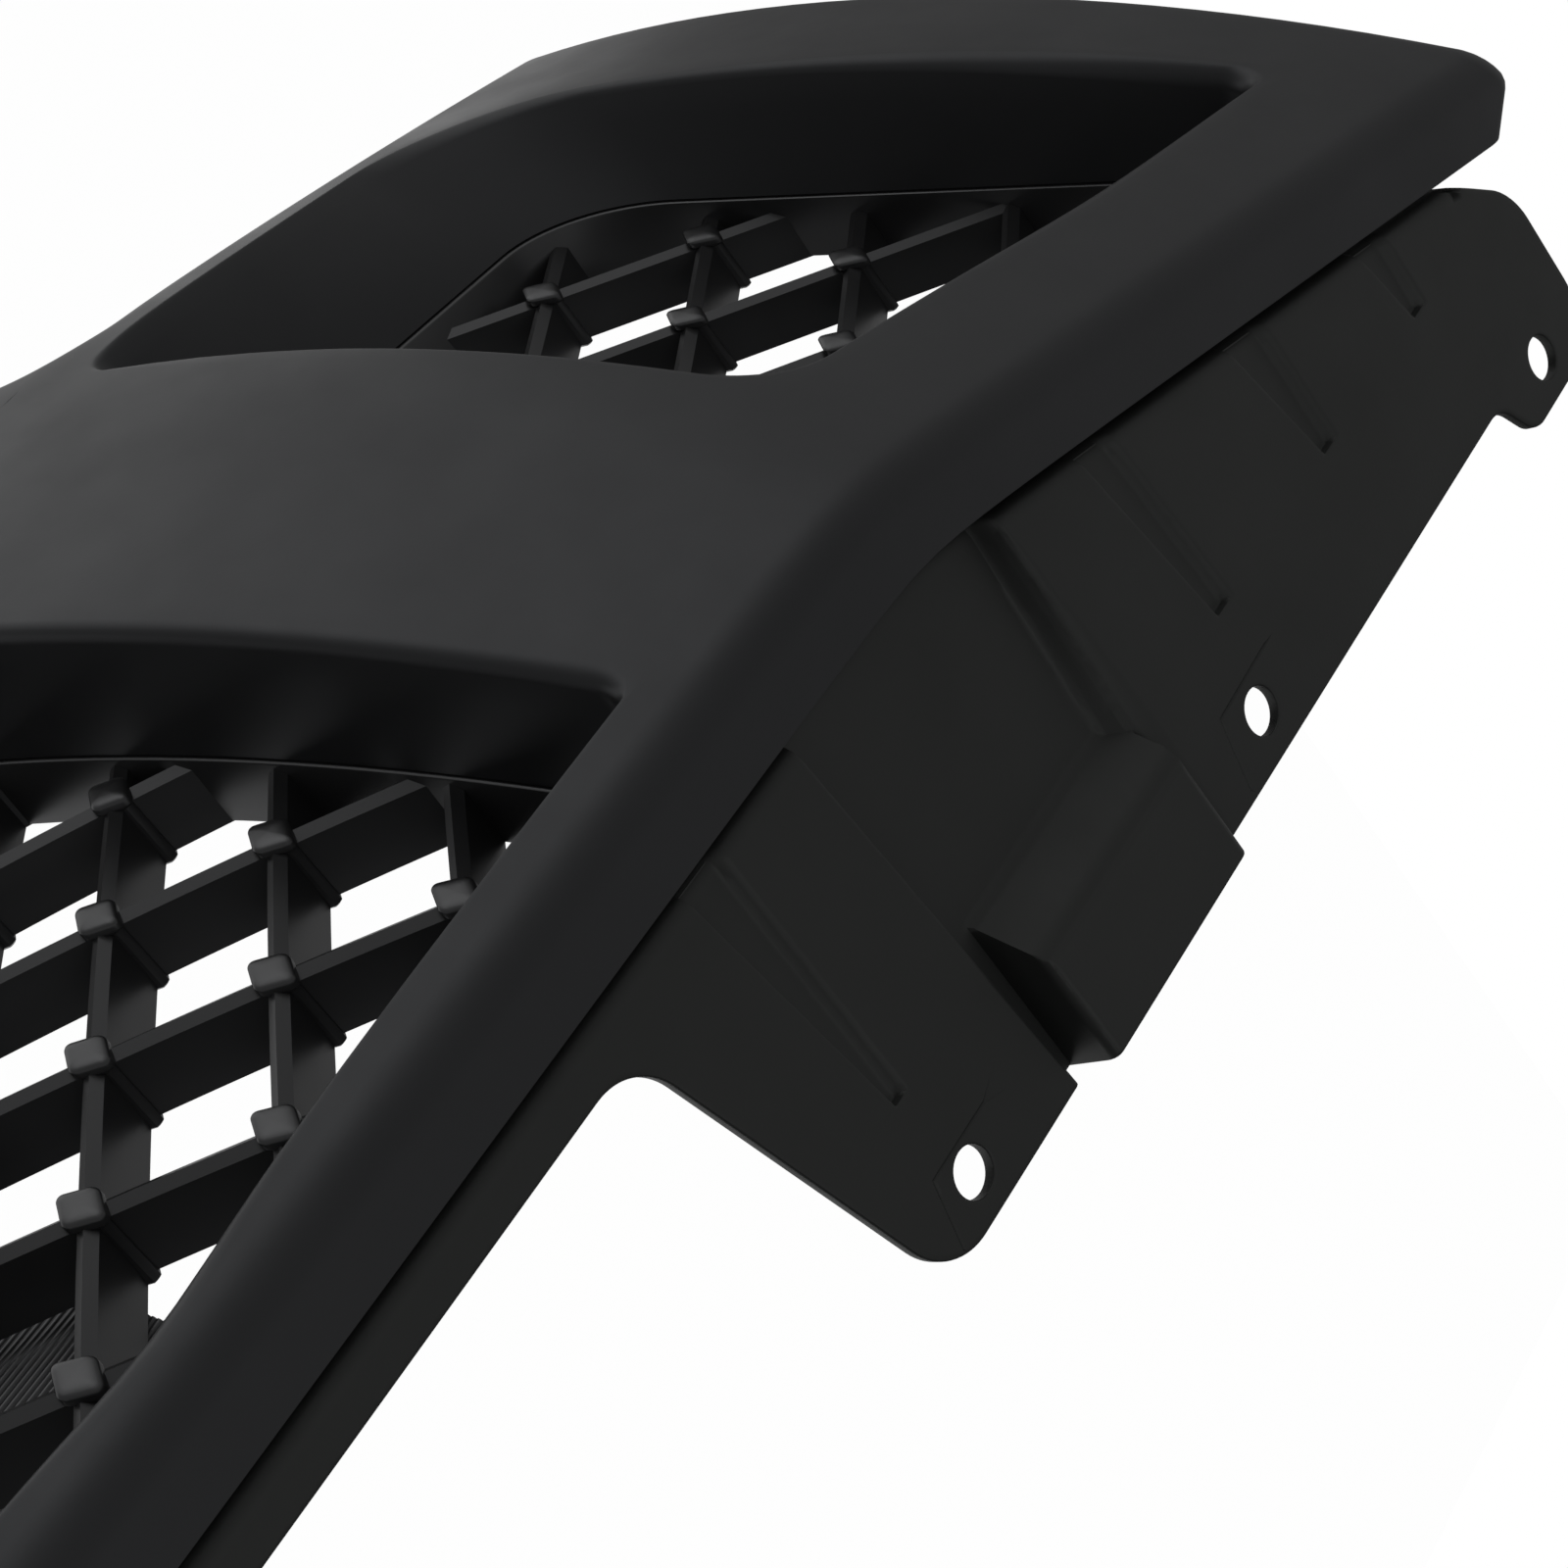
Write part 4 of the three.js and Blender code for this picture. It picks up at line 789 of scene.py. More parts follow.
def badge_plate(material):
    """Plain plate, finely ridged in front and ribbed behind."""
    shell = Shell()
    top, bottom, rear, edge = PLATE["top"], PLATE["bottom"], PLATE["thickness"], PLATE["edge"]
    front = [(bottom, edge), (bottom + edge, 0)]
    for z in np.arange(bottom + 0.8, top - 0.8, RIDGE_PITCH):
        front += [(z + share * RIDGE_PITCH, -RIDGE_HEIGHT * rise) for share, rise in RIDGE_PROFILE
                  if z + share * RIDGE_PITCH < top - 0.5]
    front += [(top - edge, 0), (top, edge)]
    back = [(top, rear - edge), (top - edge, rear)]
    for z in np.arange(top - PLATE["rib_pitch"], bottom + 2, -PLATE["rib_pitch"]):
        crest = rear + PLATE["rib"]
        back += [(z + 1.2, rear), (z + 0.8, crest), (z - 0.8, crest), (z - 1.2, rear)]
    back += [(bottom + edge, rear), (bottom, rear - edge)]
    profile = [(h, d + plate_front_y(h)) for h, d in front + back]
    rows = [np.array([(x, y, h) for h, y in profile])
            for x in np.linspace(-PLATE["half_x"], PLATE["half_x"], 9)]
    shell.sheet(rows, ends=True)
    piece = finished("badge_plate_moulding", shell, material,
                     ["badge_backing_plate"], angle=25)
    hole, reach = PLATE_SCREW_RADIUS + CLEARANCE, 12
    drill(piece, [(x, z, plate_front_y(z) - reach, plate_front_y(z) + reach, hole)
                  for x, z in PLATE_SCREWS], angle=25)


# ---------------------------------------------------------------- fasteners
SCREW_SIDES, HEAD_TO_SHANK, HEAD_HEIGHT, NECK = 24, 1.9, 2.2, 1.2
THREAD_PITCH, THREAD_CORE = 0.7, 0.78  # shares of the shank's radius
CLIP_SHEET, CLIP_LEG = 0.8, 4


def screw(name, node, material):
    """Self-tapping screw with a hexagon washer head, its tip towards -Y, as big as its node."""
    low, high = (np.array(c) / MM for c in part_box(node))
    x, z = (low[0] + high[0]) / 2, (low[2] + high[2]) / 2
    head = (high[2] - low[2]) / 2
    radius = head / HEAD_TO_SHANK
    pitch = THREAD_PITCH * radius
    tip, seat, top = low[1], high[1] - HEAD_HEIGHT, high[1]
    angles = np.linspace(0, 2 * math.pi, SCREW_SIDES, endpoint=False)
    ring = lambda r, y: np.stack(
        [x + r * np.cos(angles), y + 0 * angles, z + r * np.sin(angles)], axis=1)
    rows = []
    steps = math.ceil((seat - tip) / (pitch / 5))
    for i in range(steps + 1):
        y = tip + (seat - tip) * i / steps
        cone = min(1.0, 0.12 + (y - tip) / (1.6 * radius))
        phase = (y / pitch - angles / (2 * math.pi)) % 1.0
        crest = 0.6 if y > seat - NECK else np.clip(1 - np.abs(phase - 0.5) / 0.32, 0, 1)
        rows.append(ring(cone * radius * (THREAD_CORE + (1 - THREAD_CORE) * crest), y))
    hexagon = head * 0.72 / np.cos((angles + math.pi / 6) % (math.pi / 3) - math.pi / 6)
    rows += [ring(r, y) for r, y in (
        (head * 0.96, seat), (head, seat + 0.15), (head, seat + 0.4), (head * 0.94, seat + 0.55),
        (hexagon * 1.03, seat + 0.62), (hexagon, seat + 0.75), (hexagon, top - 0.3),
        (np.minimum(hexagon * 0.94, head * 0.74), top), (head * 0.52, top),
        (head * 0.46, top - 0.25), (head * 0.2, top - 0.35))]
    shell = Shell()
    shell.sheet(rows, ends=True)
    finished(name, shell, material, [node], angle=40)


def spring_clip(name, node, material):
    """Strip bent into a U over a tongue, its mouth flared."""
    low, high = (np.array(c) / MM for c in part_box(node))
    x, z = (low[0] + high[0]) / 2, (low[2] + high[2]) / 2
    half, outer = (high[0] - low[0]) / 2, (high[2] - low[2]) / 2
    mouth, centre, middle = low[1], high[1] - outer, outer - CLIP_SHEET / 2
    leg = [(mouth, middle + 0.9), (mouth + 0.9, middle + 0.55), (mouth + 2, middle + 0.08),
           (mouth + 2.8, middle), (centre - CLIP_LEG, middle), (centre, middle)]
    bend = [(centre + middle * math.sin(a), middle * math.cos(a))
            for a in np.linspace(0, math.pi, 9)[1:-1]]
    line = np.array(leg + bend + [(y, -h) for y, h in reversed(leg)])
    tangent = np.gradient(line, axis=0)
    tangent /= np.linalg.norm(tangent, axis=1)[:, None]
    normal = np.stack([-tangent[:, 1], tangent[:, 0]], axis=1) * (CLIP_SHEET / 2)
    inner = half - 0.15
    section = ((-half, 0.8), (-inner, 1), (inner, 1), (half, 0.8),
               (half, -0.8), (inner, -1), (-inner, -1), (-half, -0.8))
    rows = [np.array([(x + side, *(p + n * share + pt(0, z))) for side, share in section])
            for p, n in zip(line, normal)]
    shell = Shell()
    shell.sheet(rows, ends=True)
    finished(name, shell, material, [node], angle=35)


# ---------------------------------------------------------------- top mounting panel
PANEL_TOP = 3.0
REAR_Y, STRIP_REAR_Y, PANEL_END_X = 107, 7, 479
CUTOUT = ((140, 107, 19), (113, 7, 17))
EAR_LOBE = ((503, 72, 20), (503, 122, 20), (459, 122, 9), (451, 107, 9))
HOLES, HOLE_RADIUS, HOLE_ROLL = ((162, 95), (315, 94), (477, 110)), 6.3, 0.5
POCKET_DROP, BOX_TOP = 7, 11
FRONT_ROLL, EDGE_ROLL = 5.5, 0.9
POCKET_INNER_LINE, POCKET_FOOT_LINE = ((194.2, 0), (200.3, 105)), ((276.6, 6), (271.6, 62))
POCKET_FOOT_RANGE, POCKET_OUTER_TOP_X = (271, 277), 279.4
UNDER_GROW = 2.8  # how much wider the pocket is underneath
# each dart as ((mouth from, to), (tip from, to)) along X
DARTS = (((147, 162), (156.5, 161.5)), ((312, 325), (321, 328.5)), ((375, 391), (384, 391)),
         ((435, 448), (441, 447.5)))
DART_TIP_Y, DART_DEPTH = 68, 2.2
GROOVES = (((176, 87), (152, 87), (147, 104)), ((328, 84), (302, 85), (297, 104)))
GROOVE_DEPTH, GROOVE_HALF = 0.35, 0.55
# knots across each wall: distance from the wall's line, share of the fall
DART_SIDE = ((-1.0, 0), (-0.35, 0), (0.0, 0.06), (0.5, 0.9), (0.9, 1), (1.5, 1))
DART_FAR = ((-1.8, 0), (-0.9, 0), (-0.3, 0.06), (0.9, 0.4), (2.2, 0.9), (3.0, 1), (3.8, 1))
INNER_WALL = ((-1.8, 0), (-0.9, 0), (-0.2, 0.04), (0.25, 0.14), (0.6, 0.34), (1.1, 0.8),
              (1.5, 0.95), (2.2, 1), (3.0, 1))
# the same, with the distance as a share of the wall's own width
OUTER_WALL = ((-0.25, 1), (0, 1), (0.14, 0.95), (0.34, 0.8), (0.72, 0.42), (1.05, 0.16),
              (1.35, 0.04), (1.6, 0), (1.85, 0))
# the latch box: distance in from its side and drop below its top; Y and height of its front
BOX_SIDE = ((-1.0, -15), (-0.14, -2.9), (0, -2.1), (0.3, -1.35), (0.8, -0.68), (1.5, -0.22),
            (2.3, -0.04), (3.0, 0), (3.8, 0))
BOX_FRONT = ((59.4, -4), (60.4, -4), (61.8, -3.7), (63.4, -2.8), (72.4, 7.6), (74.0, 9.2),
             (75.9, 10.4), (77.8, 10.9), (80.0, 11), (81.2, 11))
BOX = {"inner": 208, "outer": 277.6, "wall": 2.4, "front_wall": 3.6}
LIP_BOTTOM_Z = -7.5
LIP_PROFILE = ((0, -6.7), (0.25, -7.25), (0.8, LIP_BOTTOM_Z), (1.6, LIP_BOTTOM_Z), (2.15, -7.25),
               (PANEL_LIP_WALL, -6.7))  # back from the lip's front, Z
# distances behind the front edge, inside the other edges and outside the holes that faces follow
LIP_STATIONS = (0.12, 0.45, 1.1, 1.8, PANEL_LIP_WALL, 3.3, 4.3, 5.4, 6.4)
EDGE_STATIONS = (0.1, 0.35, 0.9, 1.8)
HOLE_STATIONS = (0, 0.08, 0.25, 0.5, 1.3)
GRID = 6  # spacing of the faces elsewhere
ON_LINE = 0.05


def lerp_line(y, a, b):
    """X at y of the line through a and b, each (x, y)."""
    return a[0] + (b[0] - a[0]) * (y - a[1]) / (b[1] - a[1])


def pocket_inner(y):
    return lerp_line(y, *POCKET_INNER_LINE)


def pocket_outer(y, share):
    """X of the pocket's outer wall, from its foot (share 0) to its top (share 1)."""
    foot = np.clip(lerp_line(y, *POCKET_FOOT_LINE), *POCKET_FOOT_RANGE)
    return foot + share * (POCKET_OUTER_TOP_X - foot)


def knots(value, table):
    return np.interp(value, [k[0] for k in table], [k[1] for k in table])


def inverse(table):
    return [knot[::-1] for knot in table]


def pocket_share(x, y, grow=0.0):
    """How far down into the pocket a point lies, from 0 to 1."""
    inner = knots(x - pocket_inner(y) + grow, INNER_WALL)
    foot = pocket_outer(y, 0)
    outer = knots((x - grow - foot) / (POCKET_OUTER_TOP_X - foot), OUTER_WALL)
    return np.minimum(inner, outer)


def dart_share(x, y):
    share = np.zeros_like(x)
    for (m0, m1), (t0, t1) in DARTS:
        y0 = lip_front_y((m0 + m1) / 2)
        near = knots(x - lerp_line(y, (m0, y0), (t0, DART_TIP_Y)), DART_SIDE)
        far = knots(lerp_line(y, (m1, y0), (t1, DART_TIP_Y)) - x, DART_FAR)
        tip = knots(DART_TIP_Y - y, DART_SIDE)
        share = np.maximum(share, np.minimum(np.minimum(near, far), tip))
    return share


def segment_distance(x, y, line):
    best = np.full(x.shape, FAR)
    for (ax, ay), (bx, by) in zip(line, line[1:]):
        along, length = (x - ax) * (bx - ax) + (y - ay) * (by - ay), (bx - ax) ** 2 + (by - ay) ** 2
        t = np.clip(along / length, 0, 1)
        best = np.minimum(best, np.hypot(x - ax - t * (bx - ax), y - ay - t * (by - ay)))
    return best


def roll(d, radius, fall):
    """Drop of a rounded edge at distance d from it."""
    t = np.clip(1 - d / radius, 0, 1)
    return fall * (1 - np.sqrt(1 - t ** 2))


def panel_top(x, y, rest_line):
    """Height of the panel's upper side; rest_line is its edge but for the front."""
    base = PANEL_TOP - POCKET_DROP * pocket_share(x, y)
    top = np.minimum(knots(y, BOX_FRONT), BOX_TOP)
    for value in (x - BOX["inner"], BOX["outer"] - x):
        top = np.minimum(top, BOX_TOP + knots(value, BOX_SIDE))
    height = np.maximum(base, top) - DART_DEPTH * dart_share(x, y)
    for line in GROOVES:
        away = segment_distance(x, y, line) / GROOVE_HALF
        height = height - GROOVE_DEPTH * np.clip(1 - away, 0, 1)
    for hx, hy in HOLES:
        height = height - roll(np.hypot(x - hx, y - hy) - HOLE_RADIUS, HOLE_ROLL, HOLE_ROLL)
    front = (y - lip_front_y(x)) * 0.97
    height = height - roll(front, FRONT_ROLL, np.minimum(FRONT_ROLL, 0.7 * (height - LIP_BOTTOM_Z)))
    return height - roll(segment_distance(x, y, rest_line), EDGE_ROLL, EDGE_ROLL)


def panel_under(x, y):
    wall = BOX["wall"]
    slab = BOX_TOP - wall
    top = np.minimum(knots(y - BOX["front_wall"], BOX_FRONT) - wall, slab)
    for value in (x - BOX["inner"] - wall, BOX["outer"] - wall - x, REAR_Y - wall - y):
        top = np.minimum(top, slab + knots(value, BOX_SIDE))
    return np.maximum(-POCKET_DROP * pocket_share(x, y, grow=UNDER_GROW), top)


def sampled(line, step):
    points = [np.array(line[0], float)]
    for a, b in zip(line, line[1:]):
        a, b = np.array(a, float), np.array(b, float)
        n = max(1, math.ceil(np.hypot(*(b - a)) / step))
        points.extend(a + (b - a) * i / n for i in range(1, n + 1))
    return points


def offset_line(line, d):
    """An open line moved to its left by d."""
    line = np.array(line, float)
    tangent = np.gradient(line, axis=0)
    tangent /= np.hypot(tangent[:, 0], tangent[:, 1])[:, None]
    return line + np.stack([-tangent[:, 1], tangent[:, 0]], axis=1) * d


def panel_outline():
    """Front edge, then the rest, for the half with positive X, counter-clockwise from above."""
    xs = np.concatenate([np.linspace(0, 220, 45), np.linspace(224, 290, 34),
                         np.linspace(294, PANEL_END_X, 38)])
    front = [pt(x, lip_front_y(x)) for x in xs]
    chain = [(front[-1], 0), *((pt(x, y), r) for x, y, r in EAR_LOBE + CUTOUT),
             (pt(0, STRIP_REAR_Y), 0)]
    rest = [front[-1]]
    for (before, _), (corner, radius), (after, _) in zip(chain, chain[1:], chain[2:]):
        rest.extend(rounded(before, corner, after, radius, 8))
    rest.append(chain[-1][0])
    return front, sampled(rest, 5)


def inside_polygon(x, y, loop):
    odd = np.zeros(x.shape, bool)
    for (ax, ay), (bx, by) in zip(loop, np.roll(loop, -1, axis=0)):
        if ay == by:
            continue
        odd ^= ((ay > y) != (by > y)) & (x < ax + (y - ay) * (bx - ax) / (by - ay))
    return odd


def pocket_lines():
    """Lines along the walls of the pocket and its latch box."""
    lines, ys = [], np.arange(-8, 109, 4.0)
    for d, _ in INNER_WALL:
        lines += [[pt(pocket_inner(y) + d - grow, y) for y in ys] for grow in (0, UNDER_GROW)]
    for share, _ in OUTER_WALL:
        lines += [[pt(pocket_outer(y, share) + grow, y) for y in ys] for grow in (0, UNDER_GROW)]
    across = lambda y: sampled([pt(205, y), pt(283, y)], 4)
    for d, _ in BOX_SIDE:
        for shrink in (0, BOX["wall"]):
            lines += [sampled([pt(x, 60), pt(x, 109)], 4)
                      for x in (BOX["inner"] + shrink + d, BOX["outer"] - shrink - d)]
        lines.append(across(REAR_Y - BOX["wall"] - d))
    for y, _ in BOX_FRONT:
        lines += [across(y), across(y + BOX["front_wall"])]
    meet = []  # where the box's front runs into the pocket's outer wall
    for share in np.linspace(0, 1, 9):
        y = float(knots(PANEL_TOP - POCKET_DROP * (1 - share), inverse(BOX_FRONT)))
        out = float(knots(1 - share, inverse(OUTER_WALL[::-1])))
        meet.append(pt(pocket_outer(y, out), y))
    return lines + [meet]


def dart_lines():
    lines = []
    for (m0, m1), (t0, t1) in DARTS:
        y0 = float(lip_front_y((m0 + m1) / 2))
        start = y0 - 6
        side = lambda mouth, tip, d: sampled(
            [pt(lerp_line(start, (mouth, y0), (tip, DART_TIP_Y)) + d, start),
             pt(tip + d, DART_TIP_Y + 1)], 4)
        for d, _ in DART_SIDE:
            lines.append(side(m0, t0, d))
            lines.append(sampled([pt(t0 - 2, DART_TIP_Y - d), pt(t1 + 2, DART_TIP_Y - d)], 2))
        lines += [side(m1, t1, -d) for d, _ in DART_FAR]
    return lines


def panel_lines(front, rest):
    """Lines that the panel's faces follow."""
    lines = [front, rest]
    lines += [[p + pt(0, d) for p in front] for d in LIP_STATIONS]
    lines += [offset_line(rest, d) for d in EDGE_STATIONS]
    for x, y in HOLES:
        rings = [circle(x, y, HOLE_RADIUS + grow, 40) for grow in HOLE_STATIONS]
        lines += [np.concatenate([ring, ring[:1]]) for ring in rings]
    lines += pocket_lines() + dart_lines()
    for line in GROOVES:
        fine = sampled(line, 2)
        lines += [offset_line(fine, GROOVE_HALF * k) for k in (-2, -1, 0, 1, 2)]
    return lines


def panel_mesh():
    """Triangles of the half with positive X, seen from above."""
    front, rest = panel_outline()
    loop = np.array(front + rest[1:])
    verts, edges = [], []
    for line in panel_lines(front, rest):
        base = len(verts)
        verts.extend(Vector((float(p[0]), float(p[1]))) for p in line)
        edges.extend((base + i, base + i + 1) for i in range(len(line) - 1))
    verts.extend(Vector((float(x), float(y)))
                 for x in np.arange(GRID / 2, 512, GRID) for y in np.arange(-GRID, 122, GRID))
    base = len(verts)
    verts.extend([Vector((0.0, float(front[0][1]))), Vector((0.0, STRIP_REAR_Y))])
    edges.append((base, base + 1))
    points, _, faces, *_ = delaunay_2d_cdt(verts, edges, [], 0, 0.02)
    points = np.array([tuple(p) for p in points])
    tris = np.array([f for f in faces if len(f) == 3])
    middle = points[tris].mean(axis=1)
    keep = inside_polygon(middle[:, 0], middle[:, 1], loop) & (middle[:, 0] > 0)
    for hx, hy in HOLES:
        keep &= np.hypot(middle[:, 0] - hx, middle[:, 1] - hy) > HOLE_RADIUS * 0.998
    first = points[tris[:, 0]]
    keep &= np.abs(np.cross(points[tris[:, 1]] - first, points[tris[:, 2]] - first)) > SAME
    return points, tris[keep], rest


def boundary_edges(tris):
    """Edges that belong to one triangle only, in that triangle's direction."""
    owners = {}
    for a, b, c in tris:
        for edge in ((a, b), (b, c), (c, a)):
            owners.setdefault((min(edge), max(edge)), []).append(edge)
    return [found[0] for found in owners.values() if len(found) == 1]


def zipper(a, b):
    """Triangles between two chains of (index, x), both sorted by x."""
    faces, i, j = [], 0, 0
    while i < len(a) - 1 or j < len(b) - 1:
        if j == len(b) - 1 or (i < len(a) - 1 and a[i + 1][1] <= b[j + 1][1]):
            faces.append((a[i][0], a[i + 1][0], b[j][0]))
            i += 1
        else:
            faces.append((a[i][0], b[j + 1][0], b[j][0]))
            j += 1
    return faces


def mounting_panel(material):
    """Upper and lower side of one half, joined at the edges and the lip, and its mirror image."""
    points, tris, rest = panel_mesh()
    x, y = points[:, 0], points[:, 1]
    n = len(points)
    back = y - lip_front_y(x)
    top = np.stack([x, y, panel_top(x, y, rest)], axis=1)
    under = np.stack([x, y, panel_under(x, y)], axis=1)
    middle = points[tris].mean(axis=1)
    behind = tris[middle[:, 1] - lip_front_y(middle[:, 0]) > PANEL_LIP_WALL]
    faces = [tuple(t) for t in tris] + [tuple(int(i) + n for i in t[::-1]) for t in behind]
    off_mirror = lambda edges: [e for e in edges if max(abs(x[i]) for i in e) >= 1e-3]
    top_front, under_front = set(), set()
    for a, b in off_mirror(boundary_edges(tris)):
        if max(abs(back[a]), abs(back[b])) < ON_LINE:
            top_front |= {a, b}
    for a, b in off_mirror(boundary_edges(behind)):
        off = max(abs(back[i] - PANEL_LIP_WALL) for i in (a, b))
        if off < ON_LINE and max(x[a], x[b]) <= PANEL_END_X + 0.5:
            under_front |= {a, b}
        else:
            faces.append((b, a, a + n, b + n))
    chain = sorted(((i, x[i]) for i in top_front), key=lambda p: p[1])
    lower = sorted(((i + n, x[i]) for i in under_front), key=lambda p: p[1])
    rows, lip = [[i for i, _ in chain]], []
    for depth, z in LIP_PROFILE:
        rows.append([2 * n + len(lip) + k for k in range(len(chain))])
        lip.extend((px, lip_front_y(px) + depth, z) for _, px in chain)
    for r, s in zip(rows, rows[1:]):
        faces.extend((r[k], s[k], s[k + 1], r[k + 1]) for k in range(len(r) - 1))
    faces.extend(zipper([(i, px) for i, (_, px) in zip(rows[-1], chain)], lower))
    side = [r[-1] for r in rows] + [lower[-1][0]]
    end = {i for edge in boundary_edges(tris) for i in edge
           if abs(back[i]) < PANEL_LIP_WALL + ON_LINE and x[i] > PANEL_END_X - 0.01}
    end = sorted(end - set(side), key=lambda i: -back[i])
    faces.append(tuple(side + end))
    all_points = np.concatenate([top, under, np.array(lip)])
    shell = Shell()
    shell.add(all_points, faces)
    shell.add(all_points * np.array([-1, 1, 1]), [f[::-1] for f in faces])
    piece = finished("mounting_panel_moulding", shell, material,
                     ["top_mounting_panel"], angle=30)
    drill(piece, [(x, PANEL_SCREW_Z, lip_front_y(x) - 3, lip_front_y(x) + PANEL_LIP_WALL + 3,
                   SCREW_RADIUS + CLEARANCE) for x in PANEL_SCREW_XS], angle=30)


# ---------------------------------------------------------------- materials
def add_node(tree, kind, values=(), links=(), **settings):
    """A new node with its settings, then the values and links of its inputs."""
    node = tree.nodes.new(kind)
    for key, value in settings.items():
        setattr(node, key, value)
    for key, value in dict(values).items():
        node.inputs[key].default_value = value
    for key, socket in dict(links).items():
        tree.links.new(socket, node.inputs[key])
    return node


def node_tree(owner):
    owner.use_nodes = True
    owner.node_tree.nodes.clear()
    return owner.node_tree


def node_material(name):
    material = bpy.data.materials.new(name)
    tree = node_tree(material)
    shader = add_node(tree, "ShaderNodeBsdfPrincipled")
    add_node(tree, "ShaderNodeOutputMaterial", links={"Surface": shader.outputs["BSDF"]})
    return material, tree, shader, add_node(tree, "ShaderNodeTexCoord").outputs["Object"]


def noise(tree, where, scale, detail, roughness=0.5):
    values = {"Scale": scale, "Detail": detail, "Roughness": roughness}
    return add_node(tree, "ShaderNodeTexNoise", values, {"Vector": where}).outputs["Fac"]


def ramp(tree, value, stops):
    node = tree.nodes.new("ShaderNodeValToRGB")
    node.color_ramp.elements[0].position, node.color_ramp.elements[0].color = stops[0]
    node.color_ramp.elements[1].position, node.color_ramp.elements[1].color = stops[-1]
    for position, colour in stops[1:-1]:
        node.color_ramp.elements.new(position).color = colour
    tree.links.new(value, node.inputs["Fac"])
    return node.outputs["Color"]


def ranged(tree, value, low, high, start=0.3, stop=0.7):
    """The value taken from the range start-stop to the range low-high."""
    values = {"From Min": start, "From Max": stop, "To Min": low, "To Max": high}
    return add_node(tree, "ShaderNodeMapRange", values, {"Value": value}).outputs["Result"]


def bumped(tree, heights, shader):
    """Bumps, each (height, distance in metres, strength), laid over one another."""
    under = {}
    for height, distance, strength in heights:
        bump = add_node(tree, "ShaderNodeBump", {"Distance": distance, "Strength": strength},
                        {"Height": height, **under})
        under = {"Normal": bump.outputs["Normal"]}
    tree.links.new(under["Normal"], shader.inputs["Normal"])


def grey(value, tint=(1, 1, 1)):
    return tuple(value * t for t in tint) + (1.0,)


def plastic(name, level, tint, painted_reflection_tint, roughness, grain, shine=0.5):
    """Moulded black plastic: slow tone changes, faint flow marks, a fine etched grain and a painted
    tint in its reflections.
    """
    material, tree, shader, where = node_material(name)
    slow = noise(tree, where, scale=7, detail=3)
    tone = ramp(tree, slow, [(0.3, grey(level * 0.86, tint)), (0.5, grey(level, tint)),
                             (0.72, grey(level * 1.2, tint))])
    tree.links.new(tone, shader.inputs["Base Color"])
    patch = noise(tree, where, scale=26, detail=4, roughness=0.6)
    patchy = ranged(tree, patch, roughness - 0.035, roughness + 0.045)
    tree.links.new(patchy, shader.inputs["Roughness"])
    fine = noise(tree, where, scale=1500, detail=2, roughness=0.55)
    broad = noise(tree, where, scale=38, detail=2)
    bumped(tree, [(broad, 0.0004, 0.05), (fine, grain, 0.5)], shader)
    # Specular Tint is a painted reflection tint: the cast of the reflected studio light, bluish on
    # the surround and lattice, greenish on the panel, is put into the material.
    shader.inputs["Specular Tint"].default_value = (*painted_reflection_tint, 1)
    shader.inputs["Specular IOR Level"].default_value = shine
    return material


def steel(name, level, tint, roughness):
    """Plated steel: fine rolling marks and cloudy plating."""
    material, tree, shader, where = node_material(name)
    cloud = noise(tree, where, scale=160, detail=4, roughness=0.6)
    tone = ramp(tree, cloud, [(0.3, grey(level * 0.82, tint)), (0.7, grey(level * 1.08, tint))])
    tree.links.new(tone, shader.inputs["Base Color"])
    cloudy = ranged(tree, cloud, roughness - 0.07, roughness + 0.1)
    tree.links.new(cloudy, shader.inputs["Roughness"])
    fine = noise(tree, where, scale=2600, detail=2)
    bumped(tree, [(fine, 0.00003, 0.35)], shader)
    shader.inputs["Metallic"].default_value = 1.0
    return material


# ---------------------------------------------------------------- the studio, in metres
SEEN = ("Is Camera Ray", "Is Glossy Ray", "Is Transmission Ray")
AMBIENT = 0.3
# the room seen in reflections is brightest where FRONT_LIGHT points, and dim to the sides
FRONT_LIGHT = (-0.3, -0.95, -0.1)
# from opposite that direction (0) to along it (1), and the room's level there
ROOM = ((0.14, 0.07), (0.22, 0.11), (0.36, 0.33), (0.6, 0.28), (0.86, 0.26), (0.94, 0.6),
        (0.98, 1.0))
FLOOR_Z, FLOOR_REACH, FLOOR_COLOUR = -0.9, 1.2, 0.85
FLOOR_GLOW = 0.985  # share of white in what is seen of the floor; the rest takes the shadow
LAMPS = (  # name, place, aim, size, watts
    ("key", (-0.6, -2.6, 0.4), (0, 0, -0.15), 1.6, 2),
    ("top", (0.4, 1.2, 2.4), (0, 0, 0), 2.4, 6),
)
CAMERA_AT = (0.2254, -0.3051, 0.5680)
CAMERA_RIGHT = (-0.49640559, 0.56109353, 0.66238624)
CAMERA_UP = (-0.67972067, -0.72585038, 0.10545632)
SENSOR_WIDTH, FOCAL_LENGTH = 36, 80.97  # millimetres


def seen_rays(tree):
    """1 for the rays that show the background, and the Light Path node itself."""
    path = add_node(tree, "ShaderNodeLightPath")
    total = path.outputs[SEEN[0]]
    for name in SEEN[1:]:
        total = add_node(tree, "ShaderNodeMath", links={0: total, 1: path.outputs[name]},
                         operation="MAXIMUM").outputs[0]
    return total, path


def mixed(tree, factor, hidden, shown, output_type):
    """Ends a tree with a mix of two shaders."""
    mix = add_node(tree, "ShaderNodeMixShader",
                   links={"Fac": factor, 1: hidden.outputs[0], 2: shown.outputs[0]})
    add_node(tree, output_type, links={"Surface": mix.outputs[0]})


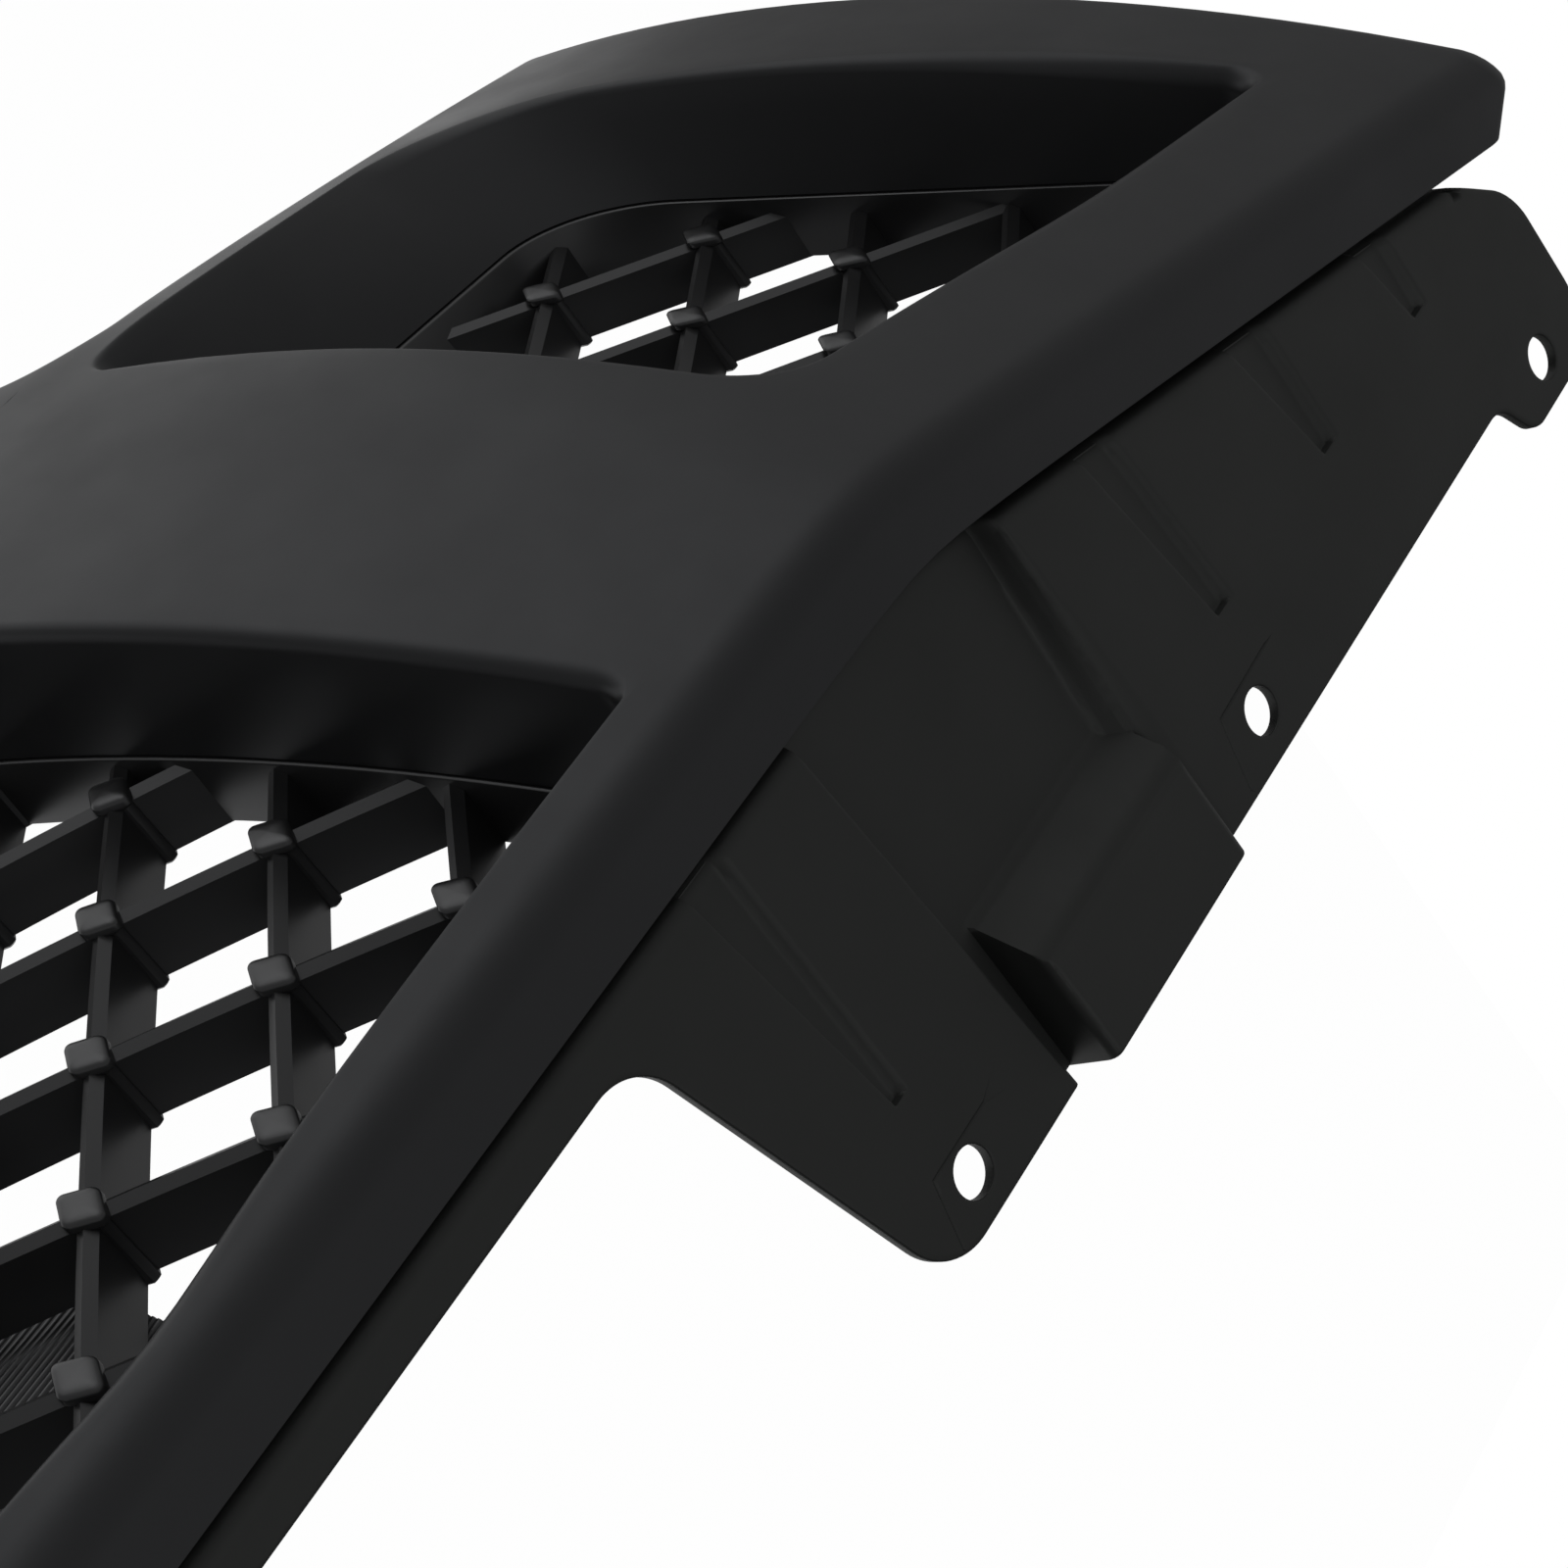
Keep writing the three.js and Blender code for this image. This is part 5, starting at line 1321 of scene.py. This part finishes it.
def world():
    """White to the camera, a room to reflections and a plain ambient light to the rest."""
    bpy.context.scene.world = bpy.data.worlds.new("studio")
    tree = node_tree(bpy.context.scene.world)
    seen, path = seen_rays(tree)
    towards = add_node(tree, "ShaderNodeTexCoord").outputs["Generated"]
    facing = add_node(tree, "ShaderNodeVectorMath", {1: Vector(FRONT_LIGHT).normalized()},
                      {0: towards}, operation="DOT_PRODUCT")
    near = ranged(tree, facing.outputs["Value"], 0, 1, -1, 1)
    room = ramp(tree, near, [(share, grey(level)) for share, level in ROOM])
    colour = add_node(tree, "ShaderNodeMix", {"B": grey(1.0)},
                      {"Factor": path.outputs["Is Camera Ray"], "A": room}, data_type="RGBA")
    shown = add_node(tree, "ShaderNodeBackground", links={"Color": colour.outputs["Result"]})
    ambient = add_node(tree, "ShaderNodeBackground", {"Color": grey(1.0), "Strength": AMBIENT})
    mixed(tree, seen, ambient, shown, "ShaderNodeOutputWorld")


def floor():
    """Pale floor that keeps the object's shadow and shows as white."""
    mesh = bpy.data.meshes.new("floor")
    corners = ((-1, -1), (1, -1), (1, 1), (-1, 1))
    mesh.from_pydata([(x * FLOOR_REACH, y * FLOOR_REACH, FLOOR_Z) for x, y in corners], [],
                     [(0, 1, 2, 3)])
    obj = bpy.data.objects.new("studio_floor", mesh)
    bpy.context.scene.collection.objects.link(obj)
    material = bpy.data.materials.new("pale_floor")
    tree = node_tree(material)
    seen, _ = seen_rays(tree)
    share = add_node(tree, "ShaderNodeMath", {1: FLOOR_GLOW}, {0: seen}, operation="MULTIPLY")
    paper = add_node(tree, "ShaderNodeBsdfDiffuse", {"Color": grey(FLOOR_COLOUR)})
    glow = add_node(tree, "ShaderNodeEmission")
    mixed(tree, share.outputs[0], paper, glow, "ShaderNodeOutputMaterial")
    obj.data.materials.append(material)


def lamps():
    for name, at, aim, size, power in LAMPS:
        lamp = bpy.data.lights.new(name, "AREA")
        lamp.shape = "DISK"
        lamp.size = size
        lamp.energy = power
        obj = bpy.data.objects.new(name, lamp)
        obj.location = at
        obj.rotation_euler = (Vector(aim) - Vector(at)).to_track_quat("-Z", "Y").to_euler()
        bpy.context.scene.collection.objects.link(obj)


def camera():
    data = bpy.data.cameras.new("camera")
    data.sensor_width, data.lens = SENSOR_WIDTH, FOCAL_LENGTH
    data.clip_start, data.clip_end = 0.05, 100
    obj = bpy.data.objects.new("camera", data)
    right, up = Vector(CAMERA_RIGHT), Vector(CAMERA_UP)
    turn = Matrix((right, up, right.cross(up))).transposed()
    obj.matrix_world = Matrix.Translation(CAMERA_AT) @ turn.to_4x4()
    bpy.context.scene.collection.objects.link(obj)
    bpy.context.scene.camera = obj


# ---------------------------------------------------------------- build
bpy.context.scene.view_settings.view_transform = "Standard"
camera()
world()
floor()
lamps()
# The reflection tints given below are painted: a bluish cast on the surround and lattice and a
# greenish one on the panel stand in for the colour of the reflected light.
BODY_BLACK = plastic("surround_black_plastic", level=0.011, tint=(1, 1.01, 1.05),
                     painted_reflection_tint=(0.94, 0.96, 1.0), roughness=0.46, grain=0.00004)
LATTICE_BLACK = plastic("lattice_black_plastic", level=0.015, tint=(1, 1.0, 1.03),
                        painted_reflection_tint=(0.97, 0.98, 1.0), roughness=0.33, grain=0.00003, shine=0.8)
PANEL_BLACK = plastic("panel_black_plastic", level=0.012, tint=(1, 1.03, 1.0),
                      painted_reflection_tint=(0.97, 1.0, 0.98), roughness=0.5, grain=0.00005)
ZINC = steel("zinc_plated_steel", level=0.62, tint=(1, 1.01, 1.04), roughness=0.3)
SPRING = steel("phosphated_spring_steel", level=0.2, tint=(1, 0.98, 0.95), roughness=0.42)

surround(BODY_BLACK)
insert("lattice_centre", "mesh_insert_centre", centre_rear, centre_seat_y, CENTRE_LATTICE,
       CENTRE_SEATS, LATTICE_BLACK)
for side in ("left", "right"):
    insert(f"lattice_wing_{side}", f"mesh_insert_{side}", wing_rear, wing_seat_y, WING_LATTICE,
           WING_SEATS, LATTICE_BLACK, mirror=side == "right")
mounting_panel(PANEL_BLACK)
badge_plate(LATTICE_BLACK)
for node in sorted(frame["nodes"]):
    if "_screw_" in node:
        screw(node.replace("_screw_", "_washer_screw_"), node, ZINC)
    elif "spring_clip" in node:
        spring_clip(node.replace("spring_clip", "u_clip"), node, SPRING)

bpy.context.view_layer.update()
